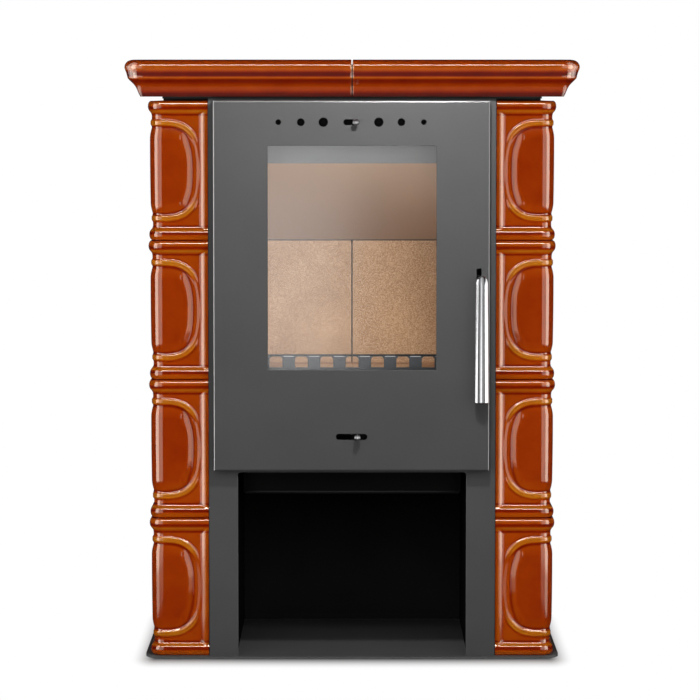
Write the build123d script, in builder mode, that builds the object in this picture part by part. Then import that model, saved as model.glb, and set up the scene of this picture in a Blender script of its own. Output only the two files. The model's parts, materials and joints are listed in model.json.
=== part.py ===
"""Wood stove clad in glazed ceramic tiles, as it comes apart on a bench.

Units are millimetres.  +X is the stove's right seen from the front, +Y goes to its back and +Z
is up.  The origin is the centre of the base plate's underside; the door faces -Y.
"""

import os
from math import cos, pi, radians, sin, tan

from build123d import *

os.makedirs("parts", exist_ok=True)

# ------------------------------------------------------------------ driving dimensions
# tiles
TILE = 220.0  # height of every tile, and the width of a full one
COURSES = 4
CORNER_LEG = 95.0  # each leg of an L-shaped corner tile
BED_JOINT = 0.8  # between two courses
SIDE_JOINT = 1.0  # between two tiles of one course
TILE_DEPTH = 24.0  # bead face to rear rim
FIELD_SET = 6.5  # field behind the bead face
FIELD_WALL = 10.0  # clay behind the field
RIM_WIDTH = 12.0  # rear rim round each tile's back
BEAD_CORNER_R = 22.5  # plan radius of the bead round a corner tile
CORNER_FLATS = 3  # flats that stand for a rounded plan corner
HOLE_FLATS = 12  # flats of a small cut hole or knob
OVAL_FLATS = 3  # flats in a quarter of a medallion
BEAD_LIP_SET = 1.6  # the bead's edge at the joint, behind its face
BEAD_LIP = 2.5
BEAD_FACE = 12.0  # height above the joint where the bead's face ends
BEAD_FOOT = 20.0  # height above the joint where the field starts
ROLL_WIDTH = 13.0  # upright roll along a tile's side
ROLL_RISE = 4.5
ROLL_SLOPE = 3.0
ROLL_EDGE_SET = 2.0
RING_FROM_EDGE = 34.6  # ring's crest from a tile's upper and lower edge
RING_FROM_SIDE = 14.5  # ring's crest from the side of a corner tile's leg
FULL_RING_FROM_SIDE = 18.0  # the same on a full tile
OVAL_POWER = 2.8  # how square the medallion is
RING_WIDTH = 11.0
RING_RISE = 3.3
RING_SLOPE = 3.2
PILLOW_GAP = 1.0  # flat groove between ring and pillow
PILLOW_RISE = 3.0
PILLOW_SLOPE = 9.0
RELIEF_SINK = 1.0  # how far a raised form's foot goes into the field

# crown
CROWN_OVERHANG = 35.0  # widest line of the crown past the bead face
CROWN_HEIGHT = 58.0
CROWN_BAND = 110.0  # front to back of the crown's ring
CROWN_WALL = 18.0
CROWN_CORNER_R = 30.0
CROWN_JOINT = 2.0
CROWN_GAP = 6.6  # open line between the top course and the crown
CROWN_PROFILE = (  # set back from the widest line and height, from the cove's foot to the top
    (25.0, 0.0),
    (20.6, 9.5),
    (16.6, 17.0),
    (5.0, 29.0),
    (4.4, 32.5),
    (1.1, 41.5),
    (0.0, 46.0),
    (1.2, 51.0),
    (5.0, 55.5),
    (14.0, CROWN_HEIGHT),
)

# casing
FRAME_WIDTH = 454.0
FRAME_SHEET = 4.0
FOLD_SHEET = 3.0  # folded sheet of frame edges and rear panel
FOLD_DEPTH = 28.0
BASE_SHEET = 4.0
BASE_CORNER_R = 40.0
BASE_SIDE_MARGIN = 7.0
BASE_FRONT_MARGIN = 10.0
TOP_SHEET = 3.0
PANEL_SHEET = 2.0
PANEL_GAP = 0.5  # between a tile's rear rim and the casing behind it
REAR_SET = 4.0  # rear panel behind the bead face
NICHE_SIDE = 45.5  # frame beside the niche
NICHE_HEIGHT = 294.0
NICHE_CORNER_R = 5.0
LINER_SHEET = 3.0
LINER_FROM_BACK = 36.0
VENT_SLOT = (110.0, 6.0)
VENT_COLUMNS = 3
VENT_ROWS = 2
VENT_PITCH_X = 140.0
VENT_PITCH_Z = 16.0
VENT_LOW_Z = 90.0
VENT_HIGH_Z = 800.0
TOP_SLOT = (110.0, 8.0)
TOP_SLOT_PITCH = 130.0
TOP_SLOT_IN = 114.0  # slots from the front face

# firebox
SHELL_SIDE = 37.0  # frame's edge to the shell
SHELL_SHEET = 4.0
SHELL_FROM_BACK = 40.0
SHELL_OVER_NICHE = 20.0
SHELL_BELOW_FRAME = 18.0  # shell's top below the frame's
SHELL_GAP = 1.5  # between shell and frame
DECK_RISE = 98.0  # deck over the shell's bottom
DECK_HOLE = (160.0, 180.0)
LINING = 26.0  # thickness of boards and floor bricks
LINING_GAP = 0.5
BACK_BOARD_JOINT = 1.0
BAFFLE_IN = 116.0  # baffle's front edge from the front face
BAFFLE_DROP = 85.0  # its front edge below the shell's top
BAFFLE_FALL = 134.0  # from its front edge down to its rear one
BAFFLE_THICKNESS = 25.0
GRATE = (179.0, 199.0, 12.0)
GRATE_Y = -10.0
GRATE_SLOTS = 8
GRATE_SLOT = (150.0, 8.0)
GRATE_PITCH = 20.0
BRICK_CHAMFER = 6.0
GUARD_IN = 16.0  # guard's plate from the front face
GUARD_SHEET = 3.0
GUARD_HEIGHT = 38.0
GUARD_FLANGE = 14.0  # depth of its folds at foot and top
GUARD_FOLD = 2.0  # chamfer that stands for the upper fold's radius
GUARD_WINDOWS = 7
GUARD_PITCH = 40.3
GUARD_WINDOW = (20.2, 17.4)
GUARD_WINDOW_RISE = 18.0  # windows' lower edge over the hearth
GUARD_WINDOW_CHAMFER = 3.6
DEFLECTOR_IN = 28.0
DEFLECTOR_SHEET = 3.0
FLUE_R = 75.0
FLUE_WALL = 2.5
FLUE_Y = 40.0
FLUE_TOP = 945.0
FLUE_HOLE_GAP = 2.0
AIR_BOX_SIDE = 6.5  # clear beside the box in the niche
AIR_BOX_IN = 154.0  # box's front from the front face
AIR_BOX_FROM_BACK = 56.0
AIR_BOX_DROP = 74.0  # its bottom below the shell's
AIR_BOX_SHEET = 2.0
AIR_BOX_EDGE_R = 12.0
AIR_HOLE = (120.0, 60.0)
AIR_HOLE_Y = 60.0
SPIGOT_R = 30.0
SPIGOT_WALL = 2.0
SPIGOT_REACH = 26.0  # past the bead face at the rear
SPIGOT_GAP = 2.5
PAN = (200.0, 220.0, 72.0)
PAN_SHEET = 2.0
PAN_IN = 26.0  # pan's front from the front face
PAN_CLEAR = 0.3
PAN_TAB = (60.0, 14.0)

# door
DOOR_LEFT_MARGIN = 8.0  # frame seen beside the door on its hinge side
DOOR_RIGHT_MARGIN = 10.0  # and on its latch side
DOOR_TOP_MARGIN = 3.0
DOOR_NICHE_GAP = 4.0  # between the niche and the door
DOOR_DEPTH = 14.0
DOOR_GAP = 2.0  # between the leaf's edge and the frame
DOOR_SKIN = 3.0
DOOR_FOLD = 1.5  # chamfer that stands for the fold's radius
VIEW_SIDE = 94.0  # frame's edge to the view
VIEW_OVER_DOOR_FOOT = 160.0
VIEW_BELOW_DOOR_TOP = 71.0
PANE_BORDER = 14.0
PANE_THICKNESS = 4.0
TAPE_WIDTH = 10.0
TAPE_THICKNESS = 2.2
CLIP_WIDTH = 8.0
CLIP_SHEET = 1.5
CLIP_GAP = 0.3
CLIP_FOOT = 7.0
CLIP_SETBACK = 30.0
ROPE_WIDTH = 11.0
ROPE_CLEAR = 0.3
AIR_ROW_BELOW_TOP = 34.0
AIR_HOLES = ((43.6, 7.5), (79.0, 6.2), (114.4, 4.5))  # distance from the slot's centre, radius
TOP_SLOT_LENGTH = 26.0
TOP_SLOT_WIDTH = 11.0
TOP_SLOT_X = -1.6
TOP_KNOB_X = 5.5
SLOT_CORNER = 0.3  # share of a slot's width cut off its corners
LOW_SLOT_LENGTH = 50.0
LOW_SLOT_WIDTH = 10.0
LOW_SLOT_X = -0.6
LOW_SLOT_OVER_FOOT = 54.0
LOW_KNOB_X = 8.4
SLIDER_SHEET = 2.0
SLIDER_HEIGHT = 18.0
TOP_SLIDER_LENGTH = 262.0
LOW_SLIDER_LENGTH = 120.0
SLIDER_CLEAR = 0.3
RAIL_HEIGHT = 2.0
RAIL_LIP = 1.5
KNOB_R = 4.0
KNOB_STEM_R = 2.5
KNOB_REACH = 12.0
KNOB_HEAD = 8.0
HINGE_EDGE = 5.0  # axis in from the leaf's left edge
HINGE_DEPTH = 7.5  # axis behind the leaf's face
HINGE_PIN_R = 2.5
HINGE_PIN_CLEAR = 0.08
HINGE_TAB = 6.0  # height of a tab
HINGE_LUG = 8.0  # height and depth of the leaf's lug above a tab
HINGE_WASH = 0.3  # between tab and lug
HINGE_INSET = 70.0  # tab's middle from the leaf's top and bottom edges
HINGE_NOTCH = 30.0

# handle and latch
HANDLE_IN = 13.0  # handle's middle from the door's right edge
HANDLE_WIDTH = 22.0
HANDLE_OVER_DOOR_FOOT = 105.0
HANDLE_LENGTH = 202.0
HANDLE_THICK = 11.0
HANDLE_STANDOFF = 12.0  # clear of the door's face
PIVOT_BELOW_TOP = 6.0
SLOT_IN = 16.8  # slot's middle from the door's right edge
SLOT_WIDTH = 8.0
SLOT_OVER_HANDLE = 14.0  # slot's top over the handle's
SLOT_LENGTH = 33.0
HOOK_SHEET = 6.0
HOOK_HALF = 5.0
HOOK_REACH = 26.0  # pivot to the nose behind the frame
HOOK_NOSE = 6.5
HOOK_NOSE_RISE = 8.0
PIVOT_R = 2.5
PIVOT_CLEAR = 0.08
EAR_SHEET = 2.5
EAR_GAP = 0.4
EAR_HALF = 5.5
LATCH_SLOT_WIDTH = 10.0
LATCH_SLOT_LOW = 20.0
LATCH_SLOT_HIGH = 16.0
CATCH = (16.0, 8.0, 14.0)
CATCH_CLEAR = 0.5

# ------------------------------------------------------------------ worked-out places
COURSE = TILE + BED_JOINT
CASING_W = FRAME_WIDTH + 2 * (SIDE_JOINT + CORNER_LEG)
CASING_D = TILE + 2 * (SIDE_JOINT + CORNER_LEG)
STACK_TOP = BASE_SHEET + COURSES * COURSE - BED_JOINT
CROWN_Z = STACK_TOP + CROWN_GAP
FRAME_TOP = CROWN_Z - TOP_SHEET
FRONT_Y = -CASING_D / 2  # bead face and frame face
BACK_Y = CASING_D / 2
TILE_BACK_X = CASING_W / 2 - TILE_DEPTH
TILE_BACK_Y = CASING_D / 2 - TILE_DEPTH
FRAME_BACK_Y = FRONT_Y + FRAME_SHEET
FIELD_BACK = FIELD_SET + FIELD_WALL
MEDALLION_HALF = TILE / 2 - RING_FROM_EDGE  # half height of the ring's crest
CORNER_OVAL_HALF = CORNER_LEG - BEAD_CORNER_R - RING_FROM_SIDE  # its half width on a leg
FULL_OVAL_HALF = TILE / 2 - FULL_RING_FROM_SIDE
NICHE_WIDTH = FRAME_WIDTH - 2 * NICHE_SIDE
NICHE_TOP = BASE_SHEET + NICHE_HEIGHT
LINER_BACK = BACK_Y - LINER_FROM_BACK
SHELL_WIDTH = FRAME_WIDTH - 2 * SHELL_SIDE
SHELL_BACK = BACK_Y - SHELL_FROM_BACK
SHELL_BOTTOM = NICHE_TOP + SHELL_OVER_NICHE
SHELL_TOP = FRAME_TOP - SHELL_BELOW_FRAME
SHELL_HALF = SHELL_WIDTH / 2
LINING_HALF = SHELL_HALF - SHELL_SHEET - LINING_GAP
CHAMBER_HALF = LINING_HALF - LINING
LINING_BACK = SHELL_BACK - SHELL_SHEET - LINING_GAP
CHAMBER_BACK = LINING_BACK - LINING
DECK_Z = SHELL_BOTTOM + DECK_RISE
DECK_TOP = DECK_Z + SHELL_SHEET
HEARTH_Z = DECK_TOP + LINING
BAFFLE_FRONT_Y = FRONT_Y + BAFFLE_IN
BAFFLE_FRONT_Z = SHELL_TOP - BAFFLE_DROP
BACK_BOARD_TOP = BAFFLE_FRONT_Z - BAFFLE_FALL
GUARD_Y = FRONT_Y + GUARD_IN
DOOR_FACE_Y = FRONT_Y - DOOR_GAP - DOOR_DEPTH
DOOR_BACK_Y = FRONT_Y - DOOR_GAP
SKIN_BACK_Y = DOOR_FACE_Y + DOOR_SKIN
DOOR_WIDTH = FRAME_WIDTH - DOOR_LEFT_MARGIN - DOOR_RIGHT_MARGIN
DOOR_SHIFT = (DOOR_LEFT_MARGIN - DOOR_RIGHT_MARGIN) / 2  # its centre line from the stove's
DOOR_BOTTOM = NICHE_TOP + DOOR_NICHE_GAP
DOOR_TOP = FRAME_TOP - DOOR_TOP_MARGIN
DOOR_HEIGHT = DOOR_TOP - DOOR_BOTTOM
DOOR_MID_Z = (DOOR_BOTTOM + DOOR_TOP) / 2
DOOR_LEFT = DOOR_SHIFT - DOOR_WIDTH / 2
DOOR_RIGHT = DOOR_SHIFT + DOOR_WIDTH / 2
HINGE_X = DOOR_LEFT + HINGE_EDGE
HINGE_Y = DOOR_FACE_Y + HINGE_DEPTH
HINGE_ZS = (DOOR_BOTTOM + HINGE_INSET, DOOR_TOP - HINGE_INSET)
AIR_ROW_Z = DOOR_TOP - AIR_ROW_BELOW_TOP
LOW_SLOT_Z = DOOR_BOTTOM + LOW_SLOT_OVER_FOOT
HANDLE_X = DOOR_RIGHT - HANDLE_IN
HANDLE_BOTTOM = DOOR_BOTTOM + HANDLE_OVER_DOOR_FOOT
HANDLE_TOP = HANDLE_BOTTOM + HANDLE_LENGTH
HANDLE_BACK_Y = DOOR_FACE_Y - HANDLE_STANDOFF
SLOT_X = DOOR_RIGHT - SLOT_IN
SLOT_BOTTOM = HANDLE_TOP + SLOT_OVER_HANDLE - SLOT_LENGTH
PIVOT_Z = HANDLE_TOP - PIVOT_BELOW_TOP
PIVOT_Y = SKIN_BACK_Y + EAR_HALF + 1.0
VIEW_WIDTH = FRAME_WIDTH - 2 * VIEW_SIDE
VIEW_BOTTOM = DOOR_BOTTOM + VIEW_OVER_DOOR_FOOT
VIEW_HEIGHT = DOOR_TOP - VIEW_BELOW_DOOR_TOP - VIEW_BOTTOM
VIEW_MID_Z = VIEW_BOTTOM + VIEW_HEIGHT / 2
PANE_W = VIEW_WIDTH + 2 * PANE_BORDER
PANE_H = VIEW_HEIGHT + 2 * PANE_BORDER
PANE_FRONT_Y = SKIN_BACK_Y + TAPE_THICKNESS
PANE_BACK_Y = PANE_FRONT_Y + PANE_THICKNESS


def finish(piece, name):
    """Label one finished piece and write its file."""
    piece.label = name
    export_step(piece, f"parts/{name}.step")


def facing_front(x, y, z):
    """Plane at a point, looked at from the front: its x is +X and its y is +Z."""
    return Plane(origin=(x, y, z), x_dir=(1, 0, 0), z_dir=(0, -1, 0))


def half_oval(half_width, half_height, reach):
    """Right half of a squarish oval in flats, its straight ends carried out to the left."""
    points = [(-reach, half_height)]
    for step in range(2 * OVAL_FLATS + 1):
        turn = pi / 2 * (1 - step / OVAL_FLATS)
        across = half_width * abs(cos(turn)) ** (2 / OVAL_POWER)
        up = half_height * abs(sin(turn)) ** (2 / OVAL_POWER)
        points.append((across, up if turn > 0 else -up))
    points.append((-reach, -half_height))
    return points


# ------------------------------------------------------------------ tile moulds
def edge_outline():
    """Bead and neck above a tile's lower edge, as set back and height."""
    return [
        (BEAD_LIP_SET, 0),
        (0, BEAD_LIP),
        (0, BEAD_FACE),
        (FIELD_SET, BEAD_FOOT),
    ]


def field_outline():
    """Front outline of a tile beside its medallion, from the lower edge to the upper one."""
    low = edge_outline()
    return low + [(set_back, TILE - height) for set_back, height in reversed(low)]


def band_outline():
    """Front outline round a corner, where the ring and the pillow wrap round it."""
    middle = TILE / 2
    crest = FIELD_SET - RING_RISE
    outer = MEDALLION_HALF + RING_WIDTH / 2
    inner = MEDALLION_HALF - RING_WIDTH / 2
    pillow = inner - PILLOW_GAP
    upper_half = [
        (FIELD_SET - PILLOW_RISE, pillow - PILLOW_SLOPE),
        (FIELD_SET, pillow),
        (FIELD_SET, inner),
        (crest, inner + RING_SLOPE),
        (crest, outer - RING_SLOPE),
        (FIELD_SET, outer),
    ]
    lower = [(set_back, middle - height) for set_back, height in reversed(upper_half)]
    upper = [(set_back, middle + height) for set_back, height in upper_half]
    edges = edge_outline()
    return edges + lower + upper + [(set_back, TILE - height) for set_back, height in reversed(edges)]


def raised(at, outline, hole, rise, slope):
    """Solid that stands on a face with sloping sides, its foot sunk a little into the face."""
    with BuildPart() as relief:
        with BuildSketch(at.offset(-RELIEF_SINK)):
            with BuildLine():
                Polyline(*outline, close=True)
            make_face()
            if hole:
                with BuildLine():
                    Polyline(*hole, close=True)
                make_face(mode=Mode.SUBTRACT)
        extrude(amount=RELIEF_SINK + rise)
        top = relief.faces().sort_by(Axis(at.origin, at.z_dir))[-1]
        chamfer(top.edges(), length=slope, length2=rise, reference=top)
    return relief.part


def medallion_solids(half_width, at, symmetric):
    """Ring and pillow on a tile's field, centred on the plane's origin.

    On a corner leg only the half to the right of the origin is kept.
    """
    half_ring = RING_WIDTH / 2
    run_out = 2 * RING_WIDTH
    outer = half_oval(half_width + half_ring, MEDALLION_HALF + half_ring, run_out)
    inner = half_oval(half_width - half_ring, MEDALLION_HALF - half_ring, run_out / 2)
    pillow_w = half_width - half_ring - PILLOW_GAP
    pillow_h = MEDALLION_HALF - half_ring - PILLOW_GAP
    pillow = half_oval(pillow_w, pillow_h, run_out)
    if symmetric:
        outer = full_oval(outer)
        inner = full_oval(inner)
        pillow = full_oval(pillow)
    ring_solid = raised(at, outer, inner, RING_RISE, RING_SLOPE)
    pillow_solid = raised(at, pillow, None, PILLOW_RISE, PILLOW_SLOPE)
    with BuildPart() as medallion:
        add(ring_solid)
        add(pillow_solid)
        if not symmetric:
            split(bisect_by=Plane(origin=at.origin, z_dir=at.x_dir), keep=Keep.TOP)
    return medallion.part


def full_oval(right_half):
    """Both halves of an oval from its right half, without the straight ends."""
    right = right_half[1:-1]
    left = [(-across, up) for across, up in reversed(right[1:-1])]
    return right + left


def roll_points(outer_x):
    """Plan section of the upright roll whose outer side is at outer_x."""
    return [
        (outer_x - ROLL_WIDTH, FIELD_SET),
        (outer_x - ROLL_WIDTH + ROLL_SLOPE, FIELD_SET - ROLL_RISE),
        (outer_x - ROLL_SLOPE, FIELD_SET - ROLL_RISE),
        (outer_x, FIELD_SET - ROLL_EDGE_SET),
        (outer_x, FIELD_SET + ROLL_EDGE_SET),
        (outer_x - ROLL_WIDTH, FIELD_SET + ROLL_EDGE_SET),
    ]


def wall_section(outline):
    """Closed section of a tile's wall behind an outline."""
    return outline + [(FIELD_BACK, TILE), (FIELD_BACK, 0)]


FLAT_TURN = 90 / CORNER_FLATS


def corner_slice(outline, radius, height):
    """One flat of a rounded corner: a slice about the corner's axis, its middle towards -Y."""
    shrink = cos(radians(FLAT_TURN / 2))
    half_chord = radius * tan(radians(FLAT_TURN / 2))
    section = [((set_back - radius) * shrink, z) for set_back, z in outline]
    with BuildPart() as flat:
        with BuildSketch(Plane.YZ):
            with BuildLine():
                Polyline(*section, (0, height), (0, 0), close=True)
            make_face()
        extrude(amount=radius, both=True)
        with BuildSketch(Plane.XY):
            with BuildLine():
                Polyline((0, 0), (-half_chord, -radius), (half_chord, -radius), close=True)
            make_face()
        extrude(amount=height, mode=Mode.INTERSECT)
    return flat.part


corner_field = facing_front(BEAD_CORNER_R, FIELD_SET, TILE / 2)
full_field = facing_front(0, FIELD_SET, TILE / 2)
corner_medallion = medallion_solids(CORNER_OVAL_HALF, corner_field, False)
full_medallion = medallion_solids(FULL_OVAL_HALF, full_field, True)
tile_slice = corner_slice(band_outline(), BEAD_CORNER_R, TILE)

# one leg of a corner tile, along +X from the corner's axis, its face towards -Y
with BuildPart() as corner_leg:
    with BuildSketch(Plane.YZ.offset(BEAD_CORNER_R)):
        with BuildLine():
            Polyline(*wall_section(field_outline()), close=True)
        make_face()
    extrude(amount=CORNER_LEG - BEAD_CORNER_R)
    with BuildSketch(Plane.XY.offset(BEAD_FACE)):
        with BuildLine():
            Polyline(*roll_points(CORNER_LEG), close=True)
        make_face()
    extrude(amount=TILE - 2 * BEAD_FACE)
    with BuildSketch(Plane.XY):
        with Locations((FIELD_BACK, FIELD_BACK)):
            Rectangle(CORNER_LEG - FIELD_BACK, TILE_DEPTH - FIELD_BACK, align=Align.MIN)
    extrude(amount=TILE)
    with BuildSketch(facing_front((TILE_DEPTH + CORNER_LEG) / 2, FIELD_BACK, TILE / 2)):
        Rectangle(CORNER_LEG - TILE_DEPTH - 2 * RIM_WIDTH, TILE - 2 * RIM_WIDTH)
    extrude(amount=-(TILE_DEPTH - FIELD_BACK), mode=Mode.SUBTRACT)
    add(corner_medallion)

DIAGONAL = Plane(origin=(0, 0, 0), x_dir=(0, 0, 1), z_dir=(1, -1, 0))
with BuildPart() as corner_mould:
    add(corner_leg.part)
    mirror(corner_leg.part, about=DIAGONAL)
    with Locations((BEAD_CORNER_R, BEAD_CORNER_R)):
        for flat in range(CORNER_FLATS):
            add(tile_slice, rotation=(0, 0, -FLAT_TURN * (flat + 0.5)))

# a full tile, centred on x = 0, its face towards -Y
with BuildPart() as full_mould:
    with BuildSketch(Plane.YZ):
        with BuildLine():
            Polyline(*wall_section(field_outline()), close=True)
        make_face()
    extrude(amount=TILE / 2, both=True)
    with BuildSketch(Plane.XY.offset(BEAD_FACE)) as full_rolls:
        with BuildLine():
            Polyline(*roll_points(TILE / 2), close=True)
        make_face()
        mirror(about=Plane.YZ)
    extrude(amount=TILE - 2 * BEAD_FACE)
    with BuildSketch(facing_front(0, FIELD_BACK, TILE / 2)):
        Rectangle(TILE, TILE)
        Rectangle(TILE - 2 * RIM_WIDTH, TILE - 2 * RIM_WIDTH, mode=Mode.SUBTRACT)
    extrude(amount=-(TILE_DEPTH - FIELD_BACK))
    add(full_medallion)

CORNERS = (
    ("front_left", -1, -1, 0),
    ("front_right", 1, -1, 90),
    ("rear_right", 1, 1, 180),
    ("rear_left", -1, 1, 270),
)
for course in range(COURSES):
    level = BASE_SHEET + course * COURSE
    for place, along_x, along_y, turn in CORNERS:
        with BuildPart() as corner_tile:
            with Locations((along_x * CASING_W / 2, along_y * CASING_D / 2, level)):
                add(corner_mould.part, rotation=(0, 0, turn))
        finish(corner_tile.part, f"corner_tile_{place}_{course + 1}")
    for place, along_x in (("left", -1), ("right", 1)):
        with BuildPart() as side_tile:
            with Locations((along_x * CASING_W / 2, 0, level)):
                add(full_mould.part, rotation=(0, 0, 90 * along_x))
        finish(side_tile.part, f"side_tile_{place}_{course + 1}")

# ------------------------------------------------------------------ crown
CROWN_W = CASING_W + 2 * CROWN_OVERHANG
CROWN_D = CASING_D + 2 * CROWN_OVERHANG
CROWN_LEG_X = (CROWN_W - CROWN_JOINT) / 2
CROWN_LEG_Y = (CROWN_D - CROWN_JOINT) / 2
COVE_FOOT_SET = CROWN_PROFILE[0][0]
crown_slice = corner_slice(CROWN_PROFILE, CROWN_CORNER_R, CROWN_HEIGHT)

# one leg of the crown, along +X from the corner's axis, its nose towards -Y
with BuildPart() as crown_leg:
    with BuildSketch(Plane.YZ.offset(CROWN_CORNER_R)):
        with BuildLine():
            Polyline(*CROWN_PROFILE, (CROWN_BAND, CROWN_HEIGHT), (CROWN_BAND, 0), close=True)
        make_face()
    extrude(amount=CROWN_LEG_X - CROWN_CORNER_R)

# a quarter of the crown, hollow from below, closed at its joints
with BuildPart() as crown_mould:
    add(crown_leg.part)
    mirror(crown_leg.part, about=DIAGONAL)
    with BuildSketch(Plane.XY.offset(-CROWN_WALL)):
        with Locations((-CROWN_WALL, CROWN_LEG_Y)):
            Rectangle(CROWN_LEG_X, CROWN_LEG_X, align=Align.MIN)
    extrude(amount=CROWN_HEIGHT + 2 * CROWN_WALL, mode=Mode.SUBTRACT)
    with Locations((CROWN_CORNER_R, CROWN_CORNER_R)):
        for flat in range(CORNER_FLATS):
            add(crown_slice, rotation=(0, 0, -FLAT_TURN * (flat + 0.5)))
    pocket_near = COVE_FOOT_SET + CROWN_WALL
    pocket_far = CROWN_BAND - CROWN_WALL
    with BuildSketch(Plane.XY):
        with BuildLine():
            Polyline(
                (pocket_near, pocket_near),
                (CROWN_LEG_X - CROWN_WALL, pocket_near),
                (CROWN_LEG_X - CROWN_WALL, pocket_far),
                (pocket_far, pocket_far),
                (pocket_far, CROWN_LEG_Y - CROWN_WALL),
                (pocket_near, CROWN_LEG_Y - CROWN_WALL),
                close=True,
            )
        make_face()
    extrude(amount=CROWN_HEIGHT - CROWN_WALL, mode=Mode.SUBTRACT)

with BuildPart() as crown_quarter:
    with Locations((-CROWN_W / 2, -CROWN_D / 2, CROWN_Z)):
        add(crown_mould.part)
CROWN_PLACES = (
    ("front_left", ()),
    ("front_right", (Plane.YZ,)),
    ("rear_left", (Plane.XZ,)),
    ("rear_right", (Plane.YZ, Plane.XZ)),
)
for place, mirrors in CROWN_PLACES:
    piece = crown_quarter.part
    for about in mirrors:
        with BuildPart() as turned:
            mirror(piece, about=about)
        piece = turned.part
    finish(piece, f"crown_{place}")

# ------------------------------------------------------------------ casing
BASE_W = CASING_W + 2 * BASE_SIDE_MARGIN
BASE_D = CASING_D + 2 * BASE_FRONT_MARGIN
with BuildPart() as base_plate:
    with BuildSketch(Plane.XY):
        RectangleRounded(BASE_W, BASE_D, BASE_CORNER_R)
    extrude(amount=BASE_SHEET)
finish(base_plate.part, "base_plate")

CASING_H = FRAME_TOP - BASE_SHEET
SHELL_MID_Z = (SHELL_BOTTOM + SHELL_TOP) / 2
SHELL_H = SHELL_TOP - SHELL_BOTTOM
FOLD_X = (FRAME_WIDTH - FOLD_SHEET) / 2
with BuildPart() as front_frame:
    with BuildSketch(facing_front(0, FRONT_Y, BASE_SHEET)):
        Rectangle(FRAME_WIDTH, CASING_H, align=(Align.CENTER, Align.MIN))
        Rectangle(NICHE_WIDTH, NICHE_HEIGHT, align=(Align.CENTER, Align.MIN), mode=Mode.SUBTRACT)
        with Locations((0, SHELL_MID_Z - BASE_SHEET)):
            Rectangle(SHELL_WIDTH + 2 * SHELL_GAP, SHELL_H + 2 * SHELL_GAP, mode=Mode.SUBTRACT)
        with Locations((SLOT_X, PIVOT_Z - LATCH_SLOT_LOW - BASE_SHEET)):
            Rectangle(
                LATCH_SLOT_WIDTH,
                LATCH_SLOT_LOW + LATCH_SLOT_HIGH,
                align=(Align.CENTER, Align.MIN),
                mode=Mode.SUBTRACT,
            )
    extrude(amount=-FRAME_SHEET)
    across = front_frame.edges().filter_by(Axis.Y)
    corners = across.filter_by_position(Axis.Z, NICHE_TOP, NICHE_TOP)
    fillet(corners.filter_by_position(Axis.X, -NICHE_WIDTH / 2, NICHE_WIDTH / 2), NICHE_CORNER_R)
    with BuildSketch(Plane.XY.offset(BASE_SHEET)):
        with Locations((-FOLD_X, FRONT_Y), (FOLD_X, FRONT_Y)):
            Rectangle(FOLD_SHEET, FOLD_DEPTH, align=(Align.CENTER, Align.MIN))
    extrude(amount=CASING_H)
    # catch for the latch's nose, welded behind the slot
    catch_w, catch_d, catch_h = CATCH
    catch_z = PIVOT_Z + HOOK_NOSE_RISE + CATCH_CLEAR
    with BuildSketch(facing_front(SLOT_X, FRAME_BACK_Y, catch_z)):
        Rectangle(catch_w, catch_h, align=(Align.CENTER, Align.MIN))
    extrude(amount=-catch_d)
finish(front_frame.part, "front_frame")

PANEL_X = TILE_BACK_X - PANEL_GAP  # outer face of a side panel
PANEL_Y = TILE_BACK_Y - PANEL_GAP  # outer face of its folded ends
for place, along_x in (("left", -1), ("right", 1)):
    with BuildPart() as side_panel:
        with BuildSketch(Plane.XY.offset(BASE_SHEET)) as panel_plan:
            with Locations((PANEL_X, 0)):
                Rectangle(PANEL_SHEET, 2 * PANEL_Y, align=(Align.MAX, Align.CENTER))
            with Locations((FRAME_WIDTH / 2, -PANEL_Y), (FRAME_WIDTH / 2, PANEL_Y - PANEL_SHEET)):
                Rectangle(PANEL_X - FRAME_WIDTH / 2, PANEL_SHEET, align=Align.MIN)
            if along_x < 0:
                mirror(about=Plane.YZ, mode=Mode.REPLACE)
        extrude(amount=CASING_H)
    finish(side_panel.part, f"side_panel_{place}")

AIR_BOX_BOTTOM = SHELL_BOTTOM - AIR_BOX_DROP
SPIGOT_Z = (AIR_BOX_BOTTOM + SHELL_BOTTOM) / 2
REAR_FACE_Y = BACK_Y - REAR_SET
with BuildPart() as rear_panel:
    with BuildSketch(facing_front(0, REAR_FACE_Y, BASE_SHEET)):
        Rectangle(FRAME_WIDTH, CASING_H, align=(Align.CENTER, Align.MIN))
        with Locations((0, VENT_LOW_Z - BASE_SHEET), (0, VENT_HIGH_Z - BASE_SHEET)):
            with GridLocations(VENT_PITCH_X, VENT_PITCH_Z, VENT_COLUMNS, VENT_ROWS):
                Rectangle(*VENT_SLOT, mode=Mode.SUBTRACT)
        with Locations((0, SPIGOT_Z - BASE_SHEET)):
            RegularPolygon(SPIGOT_R + SPIGOT_GAP, HOLE_FLATS, mode=Mode.SUBTRACT)
    extrude(amount=FOLD_SHEET)
    with BuildSketch(Plane.XY.offset(BASE_SHEET)):
        with Locations((-FOLD_X, REAR_FACE_Y), (FOLD_X, REAR_FACE_Y)):
            Rectangle(FOLD_SHEET, FOLD_DEPTH, align=(Align.CENTER, Align.MAX))
    extrude(amount=CASING_H)
finish(rear_panel.part, "rear_panel")

with BuildPart() as top_plate:
    with BuildSketch(Plane.XY.offset(FRAME_TOP)):
        Rectangle(2 * TILE_BACK_X, CASING_D - 2 * PANEL_SHEET)
        with Locations((0, FLUE_Y)):
            Circle(FLUE_R + FLUE_HOLE_GAP, mode=Mode.SUBTRACT)
        with Locations((0, FRONT_Y + TOP_SLOT_IN)):
            with GridLocations(TOP_SLOT_PITCH, 2 * TOP_SLOT[1], 3, 2):
                Rectangle(*TOP_SLOT, mode=Mode.SUBTRACT)
    extrude(amount=TOP_SHEET)
finish(top_plate.part, "top_plate")

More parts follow.
